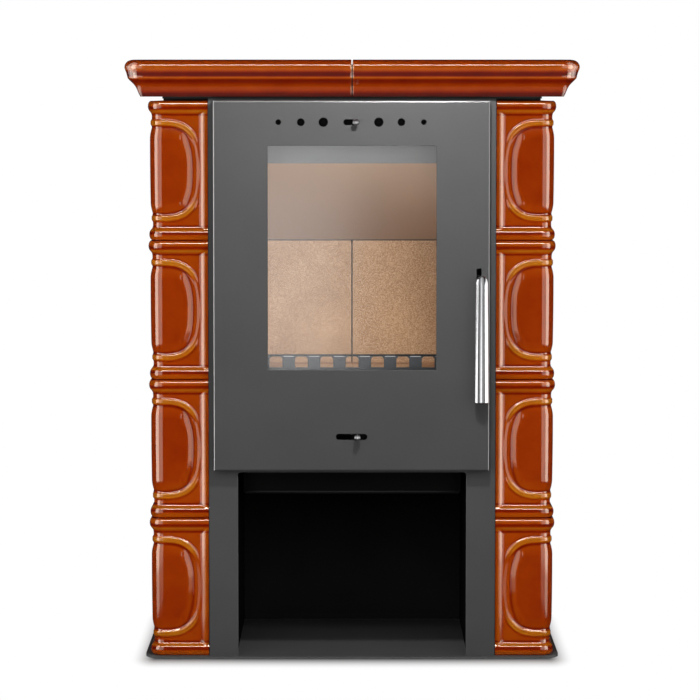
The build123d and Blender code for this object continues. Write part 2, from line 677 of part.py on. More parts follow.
LINER_W = NICHE_WIDTH + 2 * PANEL_SHEET  # clear width between the liner's sides
with BuildPart() as niche_liner:
    with BuildSketch(Plane.XY.offset(BASE_SHEET)):
        with Locations((0, FRAME_BACK_Y)):
            Rectangle(
                LINER_W + 2 * LINER_SHEET,
                LINER_BACK + LINER_SHEET - FRAME_BACK_Y,
                align=(Align.CENTER, Align.MIN),
            )
            Rectangle(
                LINER_W,
                LINER_BACK - FRAME_BACK_Y,
                align=(Align.CENTER, Align.MIN),
                mode=Mode.SUBTRACT,
            )
    extrude(amount=SHELL_BOTTOM - BASE_SHEET)
    with BuildSketch(facing_front(0, LINER_BACK, SPIGOT_Z)):
        RegularPolygon(SPIGOT_R + SPIGOT_GAP, HOLE_FLATS)
    extrude(amount=-LINER_SHEET, mode=Mode.SUBTRACT)
finish(niche_liner.part, "niche_liner")

# ------------------------------------------------------------------ firebox
with BuildPart() as firebox_shell:
    with BuildSketch(facing_front(0, FRONT_Y, SHELL_MID_Z)):
        Rectangle(SHELL_WIDTH, SHELL_H)
    extrude(amount=-(SHELL_BACK - FRONT_Y))
    mouth = firebox_shell.faces().sort_by(Axis.Y)[0]
    offset(amount=-SHELL_SHEET, openings=mouth)
    with BuildSketch(Plane.XY.offset(DECK_Z)):
        with Locations((0, FRONT_Y)):
            Rectangle(SHELL_WIDTH, SHELL_BACK - FRONT_Y, align=(Align.CENTER, Align.MIN))
        with Locations((0, GRATE_Y)):
            Rectangle(*DECK_HOLE, mode=Mode.SUBTRACT)
    extrude(amount=SHELL_SHEET)
    # flue collar welded on top
    with BuildSketch(Plane.XY.offset(SHELL_TOP)):
        with Locations((0, FLUE_Y)):
            Circle(FLUE_R)
    extrude(amount=FLUE_TOP - SHELL_TOP)
    with BuildSketch(Plane.XY.offset(FLUE_TOP)):
        with Locations((0, FLUE_Y)):
            Circle(FLUE_R - FLUE_WALL)
    extrude(amount=-(FLUE_TOP - SHELL_TOP + SHELL_SHEET), mode=Mode.SUBTRACT)
    with BuildSketch(Plane.XY.offset(SHELL_BOTTOM)):
        with Locations((0, AIR_HOLE_Y)):
            Rectangle(*AIR_HOLE)
    extrude(amount=SHELL_SHEET, mode=Mode.SUBTRACT)
finish(firebox_shell.part, "firebox_shell")

AIR_BOX_WIDTH = NICHE_WIDTH - 2 * AIR_BOX_SIDE
AIR_BOX_FRONT = FRONT_Y + AIR_BOX_IN
AIR_BOX_BACK = BACK_Y - AIR_BOX_FROM_BACK
with BuildPart() as air_box:
    with BuildSketch(facing_front(0, AIR_BOX_FRONT, AIR_BOX_BOTTOM)):
        Rectangle(AIR_BOX_WIDTH, SHELL_BOTTOM - AIR_BOX_BOTTOM, align=(Align.CENTER, Align.MIN))
    extrude(amount=-(AIR_BOX_BACK - AIR_BOX_FRONT))
    front_edges = air_box.edges().filter_by(Axis.X).group_by(Axis.Y)[0]
    fillet(front_edges.sort_by(Axis.Z)[0], AIR_BOX_EDGE_R)
    lid = air_box.faces().sort_by(Axis.Z)[-1]
    offset(amount=-AIR_BOX_SHEET, openings=lid)
    # spigot for air from outside, through liner and rear panel
    spigot_end = BACK_Y + SPIGOT_REACH
    with BuildSketch(facing_front(0, AIR_BOX_BACK, SPIGOT_Z)):
        Circle(SPIGOT_R)
    extrude(amount=-(spigot_end - AIR_BOX_BACK))
    with BuildSketch(facing_front(0, spigot_end, SPIGOT_Z)):
        Circle(SPIGOT_R - SPIGOT_WALL)
    extrude(amount=spigot_end - AIR_BOX_BACK + AIR_BOX_SHEET, mode=Mode.SUBTRACT)
finish(air_box.part, "air_box")

for place, along_x in (("left", -1), ("right", 1)):
    with BuildPart() as back_board:
        with BuildSketch(Plane.XY.offset(HEARTH_Z)) as board_plan:
            with Locations((BACK_BOARD_JOINT / 2, CHAMBER_BACK)):
                Rectangle(LINING_HALF - BACK_BOARD_JOINT / 2, LINING, align=Align.MIN)
            if along_x < 0:
                mirror(about=Plane.YZ, mode=Mode.REPLACE)
        extrude(amount=BACK_BOARD_TOP - HEARTH_Z)
    finish(back_board.part, f"back_board_{place}")

    with BuildPart() as side_board:
        with BuildSketch(Plane.YZ.offset(along_x * CHAMBER_HALF)):
            with BuildLine():
                Polyline(
                    (GUARD_Y - BRICK_CHAMFER, HEARTH_Z),
                    (CHAMBER_BACK, HEARTH_Z),
                    (CHAMBER_BACK, BACK_BOARD_TOP),
                    (BAFFLE_FRONT_Y, BAFFLE_FRONT_Z),
                    (GUARD_Y - BRICK_CHAMFER, BAFFLE_FRONT_Z),
                    close=True,
                )
            make_face()
        extrude(amount=along_x * LINING)
    finish(side_board.part, f"side_board_{place}")

BAFFLE_RUN = CHAMBER_BACK - BAFFLE_FRONT_Y
BAFFLE_RISE = BAFFLE_FRONT_Z - BACK_BOARD_TOP
BAFFLE_LENGTH = (BAFFLE_RUN**2 + BAFFLE_RISE**2) ** 0.5
LIFT_Y = BAFFLE_THICKNESS * BAFFLE_RISE / BAFFLE_LENGTH
LIFT_Z = BAFFLE_THICKNESS * BAFFLE_RUN / BAFFLE_LENGTH
HEEL_DROP = (LINING_BACK - CHAMBER_BACK - LIFT_Y) * BAFFLE_RISE / BAFFLE_RUN
with BuildPart() as baffle:
    with BuildSketch(Plane.YZ):
        with BuildLine():
            Polyline(
                (LINING_BACK, BACK_BOARD_TOP),
                (CHAMBER_BACK, BACK_BOARD_TOP),
                (BAFFLE_FRONT_Y, BAFFLE_FRONT_Z),
                (BAFFLE_FRONT_Y + LIFT_Y, BAFFLE_FRONT_Z + LIFT_Z),
                (LINING_BACK, BACK_BOARD_TOP + LIFT_Z - HEEL_DROP),
                close=True,
            )
        make_face()
    extrude(amount=LINING_HALF, both=True)
finish(baffle.part, "baffle")

HEARTH_FRONT = GUARD_Y - BRICK_CHAMFER
GRATE_HOLE_X = GRATE[0] + 2 * LINING_GAP
GRATE_HOLE_Y = GRATE[1] + 2 * LINING_GAP
with BuildPart() as floor_bricks:
    with BuildSketch(Plane.XY.offset(DECK_TOP)):
        with Locations((0, HEARTH_FRONT)):
            Rectangle(2 * LINING_HALF, LINING_BACK - HEARTH_FRONT, align=(Align.CENTER, Align.MIN))
        with Locations((0, GRATE_Y)):
            Rectangle(GRATE_HOLE_X, GRATE_HOLE_Y, mode=Mode.SUBTRACT)
    extrude(amount=LINING)
    hearth = floor_bricks.faces().sort_by(Axis.Z)[-1]
    chamfer(hearth.inner_wires()[0].edges(), BRICK_CHAMFER)
    with BuildSketch(Plane.XY.offset(DECK_TOP)):
        with Locations((-GRATE_HOLE_X / 2, HEARTH_FRONT), (GRATE_HOLE_X / 2, HEARTH_FRONT)):
            Rectangle(LINING_GAP, LINING_BACK - HEARTH_FRONT, align=(Align.CENTER, Align.MIN))
    extrude(amount=LINING, mode=Mode.SUBTRACT)
finish(floor_bricks.part, "floor_bricks")

with BuildPart() as grate:
    with BuildSketch(Plane.XY.offset(DECK_TOP)):
        with Locations((0, GRATE_Y)):
            Rectangle(GRATE[0], GRATE[1])
            with GridLocations(0, GRATE_PITCH, 1, GRATE_SLOTS):
                Rectangle(*GRATE_SLOT, mode=Mode.SUBTRACT)
    extrude(amount=GRATE[2])
finish(grate.part, "grate")

WINDOW_W, WINDOW_H = GUARD_WINDOW
with BuildSketch() as guard_window:
    Rectangle(WINDOW_W, WINDOW_H, align=(Align.CENTER, Align.MIN))
    chamfer(guard_window.vertices().group_by(Axis.Y)[-1], GUARD_WINDOW_CHAMFER)
with BuildPart() as log_guard:
    with BuildSketch(Plane.YZ):
        with Locations((GUARD_Y, HEARTH_Z)):
            Rectangle(GUARD_FLANGE, GUARD_HEIGHT, align=Align.MIN)
        with Locations((GUARD_Y + GUARD_SHEET, HEARTH_Z + GUARD_SHEET)):
            Rectangle(
                GUARD_FLANGE,
                GUARD_HEIGHT - 2 * GUARD_SHEET,
                align=Align.MIN,
                mode=Mode.SUBTRACT,
            )
    extrude(amount=CHAMBER_HALF - LINING_GAP, both=True)
    upper_fold = log_guard.edges().filter_by(Axis.X).group_by(Axis.Z)[-1]
    chamfer(upper_fold.sort_by(Axis.Y)[0], GUARD_FOLD)
    with BuildSketch(facing_front(0, GUARD_Y, HEARTH_Z + GUARD_WINDOW_RISE)):
        with GridLocations(GUARD_PITCH, 0, GUARD_WINDOWS, 1):
            add(guard_window.sketch)
    extrude(amount=-GUARD_SHEET, mode=Mode.SUBTRACT)
finish(log_guard.part, "log_guard")

SHELL_CEILING = SHELL_TOP - SHELL_SHEET
DEFLECTOR_Y = FRONT_Y + DEFLECTOR_IN
with BuildPart() as air_deflector:
    with BuildSketch(Plane.YZ):
        with Locations((DEFLECTOR_Y, BAFFLE_FRONT_Z + LINING_GAP)):
            Rectangle(
                DEFLECTOR_SHEET,
                SHELL_CEILING - BAFFLE_FRONT_Z - LINING_GAP,
                align=(Align.MIN, Align.MIN),
            )
        with Locations((DEFLECTOR_Y, SHELL_CEILING)):
            Rectangle(FOLD_DEPTH, DEFLECTOR_SHEET, align=(Align.MIN, Align.MAX))
    extrude(amount=LINING_HALF, both=True)
finish(air_deflector.part, "air_deflector")

PAN_FRONT = FRONT_Y + PAN_IN
PAN_Z = SHELL_BOTTOM + SHELL_SHEET + PAN_CLEAR
PAN_W, PAN_D, PAN_H = PAN
with BuildPart() as ash_pan:
    with BuildSketch(Plane.XY.offset(PAN_Z)):
        with Locations((0, PAN_FRONT)):
            Rectangle(PAN_W, PAN_D, align=(Align.CENTER, Align.MIN))
    extrude(amount=PAN_H)
    pan_mouth = ash_pan.faces().sort_by(Axis.Z)[-1]
    offset(amount=-PAN_SHEET, openings=pan_mouth)
    with BuildSketch(Plane.XY.offset(PAN_Z + PAN_H)):
        with Locations((0, PAN_FRONT + PAN_SHEET)):
            Rectangle(PAN_TAB[0], PAN_TAB[1] + PAN_SHEET, align=(Align.CENTER, Align.MAX))
    extrude(amount=-PAN_SHEET)
finish(ash_pan.part, "ash_pan")

# ------------------------------------------------------------------ door
SLIDER_FRONT_Y = SKIN_BACK_Y + SLIDER_CLEAR
SLIDER_BACK_Y = SLIDER_FRONT_Y + SLIDER_SHEET


def rail_pair(at_x, at_z, length):
    """Upper and lower rails that hold a slider against the door's skin."""
    for side in (-1, 1):
        foot_z = at_z + side * (SLIDER_HEIGHT / 2 + SLIDER_CLEAR + RAIL_HEIGHT / 2)
        lip_z = at_z + side * (SLIDER_HEIGHT / 2 + SLIDER_CLEAR + RAIL_HEIGHT / 2 - RAIL_LIP / 2)
        with BuildSketch(facing_front(at_x, SKIN_BACK_Y, foot_z)) as foot:
            Rectangle(length, RAIL_HEIGHT)
        extrude(foot.sketch, amount=-(SLIDER_SHEET + 2 * SLIDER_CLEAR + CLIP_SHEET))
        with BuildSketch(facing_front(at_x, SLIDER_BACK_Y + SLIDER_CLEAR, lip_z)) as lip:
            Rectangle(length, RAIL_HEIGHT + RAIL_LIP)
        extrude(lip.sketch, amount=-CLIP_SHEET)


with BuildPart() as door_leaf:
    with BuildSketch(facing_front(DOOR_SHIFT, DOOR_BACK_Y, DOOR_MID_Z)):
        Rectangle(DOOR_WIDTH, DOOR_HEIGHT)
    extrude(amount=DOOR_DEPTH)
    face_edges = door_leaf.faces().sort_by(Axis.Y)[0].edges()
    chamfer(face_edges, DOOR_FOLD)
    with BuildSketch(facing_front(DOOR_SHIFT, DOOR_BACK_Y, DOOR_MID_Z)):
        Rectangle(DOOR_WIDTH - 2 * DOOR_SKIN, DOOR_HEIGHT - 2 * DOOR_SKIN)
    extrude(amount=DOOR_DEPTH - DOOR_SKIN, mode=Mode.SUBTRACT)
    with BuildSketch(facing_front(0, SKIN_BACK_Y, 0)):
        with Locations((0, VIEW_MID_Z)):
            Rectangle(VIEW_WIDTH, VIEW_HEIGHT)
        with Locations((TOP_SLOT_X, AIR_ROW_Z)):
            Rectangle(TOP_SLOT_LENGTH, TOP_SLOT_WIDTH)
        chamfer(vertices(Select.LAST), TOP_SLOT_WIDTH * SLOT_CORNER)
        with Locations((LOW_SLOT_X, LOW_SLOT_Z)):
            Rectangle(LOW_SLOT_LENGTH, LOW_SLOT_WIDTH)
        chamfer(vertices(Select.LAST), LOW_SLOT_WIDTH * SLOT_CORNER)
        with Locations((SLOT_X, SLOT_BOTTOM)):
            Rectangle(SLOT_WIDTH, SLOT_LENGTH, align=(Align.CENTER, Align.MIN))
        for distance, radius in AIR_HOLES:
            with Locations((TOP_SLOT_X - distance, AIR_ROW_Z), (TOP_SLOT_X + distance, AIR_ROW_Z)):
                RegularPolygon(radius, HOLE_FLATS)
    extrude(amount=DOOR_SKIN, mode=Mode.SUBTRACT)
    rail_pair(TOP_SLOT_X, AIR_ROW_Z, TOP_SLIDER_LENGTH - 2 * TOP_SLOT_LENGTH)
    rail_pair(LOW_SLOT_X, LOW_SLOT_Z, LOW_SLIDER_LENGTH - LOW_SLOT_LENGTH)
    for hinge_z in HINGE_ZS:
        with BuildSketch(facing_front(DOOR_LEFT, SKIN_BACK_Y, hinge_z)):
            Rectangle(DOOR_SKIN, HINGE_NOTCH, align=(Align.MIN, Align.CENTER))
        extrude(amount=-(DOOR_BACK_Y - SKIN_BACK_Y), mode=Mode.SUBTRACT)
        with BuildSketch(Plane.XY.offset(hinge_z + HINGE_TAB / 2 + HINGE_WASH)):
            with Locations((DOOR_LEFT + DOOR_FOLD, SKIN_BACK_Y)):
                Rectangle(3 * HINGE_EDGE, HINGE_LUG, align=Align.MIN)
            with Locations((HINGE_X, HINGE_Y)):
                Circle(HINGE_PIN_R + HINGE_PIN_CLEAR, mode=Mode.SUBTRACT)
        extrude(amount=HINGE_LUG)
finish(door_leaf.part, "door_leaf")

with BuildPart() as hinge_brackets:
    tab_left = HINGE_X - HINGE_EDGE + DOOR_SKIN
    tab_front = HINGE_Y - HINGE_PIN_R - HINGE_WASH
    for hinge_z in HINGE_ZS:
        with BuildSketch(Plane.XY.offset(hinge_z - HINGE_TAB / 2)):
            with Locations((tab_left, tab_front)):
                Rectangle(2 * HINGE_EDGE, FRONT_Y - tab_front, align=Align.MIN)
        extrude(amount=HINGE_TAB)
        with BuildSketch(Plane.XY.offset(hinge_z + HINGE_TAB / 2)):
            with Locations((HINGE_X, HINGE_Y)):
                Circle(HINGE_PIN_R)
        extrude(amount=HINGE_LUG)
finish(hinge_brackets.part, "hinge_brackets")

with BuildPart() as glass_pane:
    with BuildSketch(facing_front(0, PANE_FRONT_Y, VIEW_MID_Z)):
        Rectangle(PANE_W, PANE_H)
    extrude(amount=-PANE_THICKNESS)
finish(glass_pane.part, "glass_pane")

with BuildPart() as glass_tape:
    with BuildSketch(facing_front(0, SKIN_BACK_Y, VIEW_MID_Z)):
        Rectangle(PANE_W, PANE_H)
        Rectangle(PANE_W - 2 * TAPE_WIDTH, PANE_H - 2 * TAPE_WIDTH, mode=Mode.SUBTRACT)
    extrude(amount=-TAPE_THICKNESS)
finish(glass_tape.part, "glass_tape")

CLIP_LIP_Y = PANE_BACK_Y + CLIP_GAP
CLIP_UPRIGHT = PANE_H - 2 * CLIP_SETBACK
CLIP_LYING = PANE_W - 2 * CLIP_SETBACK
with BuildPart() as glass_clips:
    foot_x = PANE_W / 2 + CLIP_GAP + CLIP_FOOT / 2
    foot_z = PANE_H / 2 + CLIP_GAP + CLIP_FOOT / 2
    with BuildSketch(facing_front(0, SKIN_BACK_Y, VIEW_MID_Z)):
        with Locations((-foot_x, 0), (foot_x, 0)):
            Rectangle(CLIP_FOOT, CLIP_UPRIGHT)
        with Locations((0, -foot_z), (0, foot_z)):
            Rectangle(CLIP_LYING, CLIP_FOOT)
    extrude(amount=-(CLIP_LIP_Y - SKIN_BACK_Y))
    lip_x = foot_x - CLIP_WIDTH / 2
    lip_z = foot_z - CLIP_WIDTH / 2
    with BuildSketch(facing_front(0, CLIP_LIP_Y, VIEW_MID_Z)):
        with Locations((-lip_x, 0), (lip_x, 0)):
            Rectangle(CLIP_FOOT + CLIP_WIDTH, CLIP_UPRIGHT)
        with Locations((0, -lip_z), (0, lip_z)):
            Rectangle(CLIP_LYING, CLIP_FOOT + CLIP_WIDTH)
    extrude(amount=-CLIP_SHEET)
finish(glass_clips.part, "glass_clips")

ROPE_X = SHELL_HALF - SHELL_SHEET / 2
ROPE_W = 2 * ROPE_X + ROPE_WIDTH
ROPE_H = SHELL_H - SHELL_SHEET + ROPE_WIDTH
with BuildPart() as door_rope:
    with BuildSketch(facing_front(0, SKIN_BACK_Y, SHELL_MID_Z)):
        Rectangle(ROPE_W, ROPE_H)
        Rectangle(ROPE_W - 2 * ROPE_WIDTH, ROPE_H - 2 * ROPE_WIDTH, mode=Mode.SUBTRACT)
    extrude(amount=-(FRONT_Y - ROPE_CLEAR - SKIN_BACK_Y))
finish(door_rope.part, "door_rope")


def knob(at_x, at_z):
    """Stem through the door's slot and the knob in front of it."""
    with BuildSketch(facing_front(at_x, SLIDER_FRONT_Y, at_z)) as stem:
        RegularPolygon(KNOB_STEM_R, HOLE_FLATS)
    extrude(stem.sketch, amount=SLIDER_FRONT_Y - DOOR_FACE_Y + KNOB_REACH)
    with BuildSketch(facing_front(at_x, DOOR_FACE_Y - KNOB_REACH, at_z)) as head:
        RegularPolygon(KNOB_R, HOLE_FLATS)
    extrude(head.sketch, amount=-KNOB_HEAD)


with BuildPart() as top_slider:
    with BuildSketch(facing_front(TOP_SLOT_X, SLIDER_FRONT_Y, AIR_ROW_Z)):
        Rectangle(TOP_SLIDER_LENGTH, SLIDER_HEIGHT)
        for distance, radius in AIR_HOLES:
            with Locations((-distance, 0), (distance, 0)):
                Rectangle(2 * radius, 2 * radius, mode=Mode.SUBTRACT)
        with Locations((-TOP_SLOT_LENGTH / 2 + TOP_SLOT_WIDTH / 2, 0)):
            RegularPolygon(AIR_HOLES[-1][1], HOLE_FLATS, mode=Mode.SUBTRACT)
    extrude(amount=-SLIDER_SHEET)
    knob(TOP_KNOB_X, AIR_ROW_Z)
finish(top_slider.part, "top_slider")

LOW_WINDOW = LOW_SLOT_LENGTH / 2
with BuildPart() as low_slider:
    with BuildSketch(facing_front(LOW_SLOT_X, SLIDER_FRONT_Y, LOW_SLOT_Z)):
        Rectangle(LOW_SLIDER_LENGTH, SLIDER_HEIGHT)
        with Locations((-LOW_SLOT_LENGTH / 2, 0)):
            Rectangle(
                LOW_WINDOW,
                LOW_SLOT_WIDTH,
                align=(Align.MIN, Align.CENTER),
                mode=Mode.SUBTRACT,
            )
    extrude(amount=-SLIDER_SHEET)
    knob(LOW_KNOB_X, LOW_SLOT_Z)
finish(low_slider.part, "low_slider")

# ------------------------------------------------------------------ handle and latch
with BuildPart() as handle_bar:
    with BuildSketch(Plane.XY.offset(HANDLE_BOTTOM)):
        with BuildLine():
            ThreePointArc(
                (HANDLE_X - HANDLE_WIDTH / 2, HANDLE_BACK_Y),
                (HANDLE_X, HANDLE_BACK_Y - HANDLE_THICK),
                (HANDLE_X + HANDLE_WIDTH / 2, HANDLE_BACK_Y),
            )
            Line(
                (HANDLE_X + HANDLE_WIDTH / 2, HANDLE_BACK_Y),
                (HANDLE_X - HANDLE_WIDTH / 2, HANDLE_BACK_Y),
            )
        make_face()
    extrude(amount=HANDLE_TOP - HANDLE_BOTTOM)
    with BuildSketch(facing_front(HANDLE_X, HANDLE_BACK_Y, HANDLE_BOTTOM)):
        with Locations((0, -HANDLE_WIDTH)):
            Rectangle(
                HANDLE_WIDTH,
                HANDLE_TOP - HANDLE_BOTTOM + HANDLE_WIDTH,
                align=(Align.CENTER, Align.MIN),
            )
        tips = vertices(Select.LAST).group_by(Axis.Y)[-1]
        fillet(tips, HANDLE_WIDTH / 2 - CLIP_GAP)
    extrude(amount=HANDLE_THICK, mode=Mode.INTERSECT)
finish(handle_bar.part, "handle_bar")

with BuildPart() as latch_hook:
    with BuildSketch(Plane.YZ.offset(SLOT_X)):
        with Locations((HANDLE_BACK_Y, PIVOT_Z)):
            Rectangle(
                PIVOT_Y + HOOK_REACH - HANDLE_BACK_Y,
                2 * HOOK_HALF,
                align=(Align.MIN, Align.CENTER),
            )
        with Locations((PIVOT_Y + HOOK_REACH, PIVOT_Z)):
            Rectangle(HOOK_NOSE, HOOK_NOSE_RISE, align=(Align.MAX, Align.MIN))
        with Locations((PIVOT_Y, PIVOT_Z)):
            Circle(PIVOT_R + PIVOT_CLEAR, mode=Mode.SUBTRACT)
    extrude(amount=HOOK_SHEET / 2, both=True)
finish(latch_hook.part, "latch_hook")

EAR_X = HOOK_SHEET / 2 + EAR_GAP  # inner face of an ear from the hook's middle
with BuildPart() as latch_bracket:
    for side in (-1, 1):
        with BuildSketch(Plane.YZ.offset(SLOT_X + side * EAR_X)):
            with Locations((SKIN_BACK_Y, PIVOT_Z)):
                Rectangle(
                    PIVOT_Y + EAR_HALF - SKIN_BACK_Y,
                    2 * EAR_HALF,
                    align=(Align.MIN, Align.CENTER),
                )
        extrude(amount=side * EAR_SHEET)
    with BuildSketch(Plane.YZ.offset(SLOT_X)):
        with Locations((PIVOT_Y, PIVOT_Z)):
            Circle(PIVOT_R)
    extrude(amount=EAR_X + EAR_SHEET, both=True)
finish(latch_bracket.part, "latch_bracket")
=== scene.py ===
import json
from math import cos, pi, radians, sin, sqrt

import bmesh
import bpy
from mathutils import Matrix, Vector

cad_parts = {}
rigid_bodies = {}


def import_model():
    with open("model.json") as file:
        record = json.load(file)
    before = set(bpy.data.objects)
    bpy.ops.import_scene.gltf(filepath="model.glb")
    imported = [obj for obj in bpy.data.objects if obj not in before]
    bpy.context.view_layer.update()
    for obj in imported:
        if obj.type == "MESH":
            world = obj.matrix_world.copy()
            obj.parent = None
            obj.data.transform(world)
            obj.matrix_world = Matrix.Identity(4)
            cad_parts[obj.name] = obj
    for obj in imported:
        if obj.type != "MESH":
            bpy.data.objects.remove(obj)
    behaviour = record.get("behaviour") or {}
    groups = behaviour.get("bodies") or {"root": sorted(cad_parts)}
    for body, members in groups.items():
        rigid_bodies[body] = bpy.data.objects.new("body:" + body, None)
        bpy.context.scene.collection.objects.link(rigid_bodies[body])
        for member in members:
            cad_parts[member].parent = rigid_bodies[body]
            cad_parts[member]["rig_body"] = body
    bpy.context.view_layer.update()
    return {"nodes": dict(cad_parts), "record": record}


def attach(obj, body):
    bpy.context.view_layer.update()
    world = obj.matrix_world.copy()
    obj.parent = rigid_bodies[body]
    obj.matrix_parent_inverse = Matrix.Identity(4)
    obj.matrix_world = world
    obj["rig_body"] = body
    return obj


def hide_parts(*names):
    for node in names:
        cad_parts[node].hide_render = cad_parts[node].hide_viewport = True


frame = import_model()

MM = 0.001
nodes = frame["nodes"]
slots = {part["node"]: part["material_slot"] for part in frame["record"]["subparts"]}
body_of = {node: obj["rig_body"] for node, obj in nodes.items()}

# ---------- sizes of the tiled casing, mm
CASING_W = 646.0  # over the tiles' beads
CASING_D = 412.0
BASE_SHEET = 4.0  # the tiles stand on it
COURSE = 220.8  # a tile and its joint
COURSES = 4
TILE = 220.0
LEG = 95.0  # a corner tile's leg, from the casing's corner
BEAD_R = 22.5  # the casing's rounded upright edge
STRAIGHT = LEG - BEAD_R  # the way round a corner tile is straight, round and straight again
ROUND = BEAD_R * pi / 2
WALL_BACK = 24.0  # a tile's back, behind its bead's face

# relief of a tile: set backs are from the bead's face, heights from the tile's nearer edge
FIELD = 6.5
BEAD_CREST = 8.6
BEAD_HALF = 8.8
BEAD_RISE = 5.0
BEAD_END = 7.6  # from the bead's crest to where the neck's cove takes over
NECK = 24.6  # where the cove ends in the field
ROLL_CREST = 4.8  # the upright roll, from the tile's side
ROLL_FOOT = 14.2
ROLL_RISE = 3.6
ROLL_FALL = 0.5
LEAN = 1.5  # how far a tile's foot stands back

# medallion: a ring round a pillow, both on a superellipse
OVAL_POWER = 2.8
OVAL_HALF_Z = 75.4
CORNER_OVAL = 58.8
FULL_OVAL = 92.0
RING_HALF = 6.4
RING_RISE = 2.9
RING_POWER = 0.7
RING_DIP = 0.85  # groove along the ring's crest
DIP_HALF = 0.42  # as a share of the ring's half width
RING_SIDE = 62.0  # nearer to mid height than this, the ring gets narrow and low
SIDE_EASE = 22.0
SIDE_NARROW = 0.45
SIDE_LOW = 0.84
PILLOW_EDGE = 7.4  # from the ring's crest
PILLOW_IN = 3.8  # more at the ring's sides
PILLOW_RIM = 9.5
PILLOW_SLOPE = 8.0  # wider rim at the pillow's ends
PILLOW_RISE = 3.0
DOME_RISE = 0.6

# how the glaze runs: 0 is pooled and dark, 1 is thin and light
GLAZE_LEVEL = 0.58
RIDGE_GAIN = 0.30  # lighter on ridges, for each mm they stand out
RIDGE_LIMIT = 0.9
RIDGE_REACH = 3  # a ridge is what stands out from the face this far round it
EDGE_GLAZE = ((0.20, 17.5, 3.2), (-0.32, 11.2, 3.6), (-0.22, 22.0, 2.0))  # change, height, half width
RING_THIN = 0.20
SIDE_THICK = 0.24
PILLOW_THICK = 0.10
GROOVE_THICK = 0.14  # where the pillow rises beside the ring
GROOVE_HALF = 3.2
HIDDEN_GLAZE = 0.5  # on a tile's walls and back

# crown: four pieces, each a leg along x, a rounded corner and a leg along y
CROWN_W = 716.0
CROWN_D = 482.0
CROWN_Z = 893.0
CROWN_R = 30.0
CROWN_JOINT = 2.0
CROWN_BAND = 110.0  # how far its top reaches inwards
CROWN_LEG_X = (CROWN_W - CROWN_JOINT) / 2 - CROWN_R
CROWN_LEG_Y = (CROWN_D - CROWN_JOINT) / 2 - CROWN_R
CROWN_ARC = CROWN_R * pi / 2
JOINT_EASE = 1.5  # nearer than this to a joint, the crown's glaze draws back
JOINT_BACK = 1.2
JOINT_DROP = 0.5
JOINT_THIN = 0.25

SAME = 1e-6  # points nearer than this are one, m
TILE_CELL = 1e-5  # cells of a tile's relief are smaller than this, its flat faces larger, m2


# ---------- shader helpers
def new_material(name):
    """An empty node material with its Principled shader wired up."""
    material = bpy.data.materials.new(name)
    material.use_nodes = True
    return material, material.node_tree, material.node_tree.nodes["Principled BSDF"]


def add_node(tree, kind, **values):
    """A node with some of its inputs or settings given."""
    node = tree.nodes.new(kind)
    for key, value in values.items():
        if key in node.inputs:
            node.inputs[key].default_value = value
        else:
            setattr(node, key, value)
    return node


def ramp(tree, factor, stops):
    """A colour ramp through (position, colour) stops."""
    node = tree.nodes.new("ShaderNodeValToRGB")
    elements = node.color_ramp.elements
    elements[0].position, elements[0].color = stops[0][0], (*stops[0][1], 1)
    elements[1].position, elements[1].color = stops[-1][0], (*stops[-1][1], 1)
    for position, colour in stops[1:-1]:
        elements.new(position).color = (*colour, 1)
    tree.links.new(factor, node.inputs[0])
    return node.outputs[0]


def span(tree, value, low, high):
    """Maps 0..1 to low..high."""
    node = add_node(tree, "ShaderNodeMapRange")
    node.inputs["To Min"].default_value = low
    node.inputs["To Max"].default_value = high
    tree.links.new(value, node.inputs["Value"])
    return node.outputs[0]


def build_grain_group():
    """Fine and broad unevenness in object space, as two masks round 0.5."""
    group = bpy.data.node_groups.new("surface_grain", "ShaderNodeTree")
    face = group.interface
    face.new_socket("Fine Scale", in_out="INPUT", socket_type="NodeSocketFloat")
    face.new_socket("Broad Scale", in_out="INPUT", socket_type="NodeSocketFloat")
    face.new_socket("Fine", in_out="OUTPUT", socket_type="NodeSocketFloat")
    face.new_socket("Broad", in_out="OUTPUT", socket_type="NodeSocketFloat")
    entry = group.nodes.new("NodeGroupInput")
    out = group.nodes.new("NodeGroupOutput")
    place = group.nodes.new("ShaderNodeTexCoord")
    for scale, name, detail in (("Fine Scale", "Fine", 2.0), ("Broad Scale", "Broad", 3.0)):
        noise = add_node(group, "ShaderNodeTexNoise", Detail=detail, Roughness=0.55)
        group.links.new(place.outputs["Object"], noise.inputs["Vector"])
        group.links.new(entry.outputs[scale], noise.inputs["Scale"])
        group.links.new(noise.outputs["Fac"], out.inputs[name])
    return group


grain_group = build_grain_group()


def grain(tree, fine_scale, broad_scale):
    """Places the grain group in a material."""
    node = tree.nodes.new("ShaderNodeGroup")
    node.node_tree = grain_group
    node.inputs["Fine Scale"].default_value = fine_scale
    node.inputs["Broad Scale"].default_value = broad_scale
    return node.outputs["Fine"], node.outputs["Broad"]


def bump(tree, height, strength, distance):
    """A normal that follows a height."""
    node = add_node(tree, "ShaderNodeBump", Strength=strength, Distance=distance)
    tree.links.new(height, node.inputs["Height"])
    return node.outputs["Normal"]


def calculate(tree, operation, first, second):
    """A math node on a socket and another socket or a number."""
    node = add_node(tree, "ShaderNodeMath", operation=operation)
    tree.links.new(first, node.inputs[0])
    if isinstance(second, float):
        node.inputs[1].default_value = second
    else:
        tree.links.new(second, node.inputs[1])
    return node.outputs[0]


def vector_step(tree, operation, first, value=(0, 0, 0)):
    """A vector math node on a socket and a value."""
    node = add_node(tree, "ShaderNodeVectorMath", operation=operation)
    tree.links.new(first, node.inputs[0])
    node.inputs[1].default_value = value
    return node.outputs["Value" if operation == "LENGTH" else "Vector"]


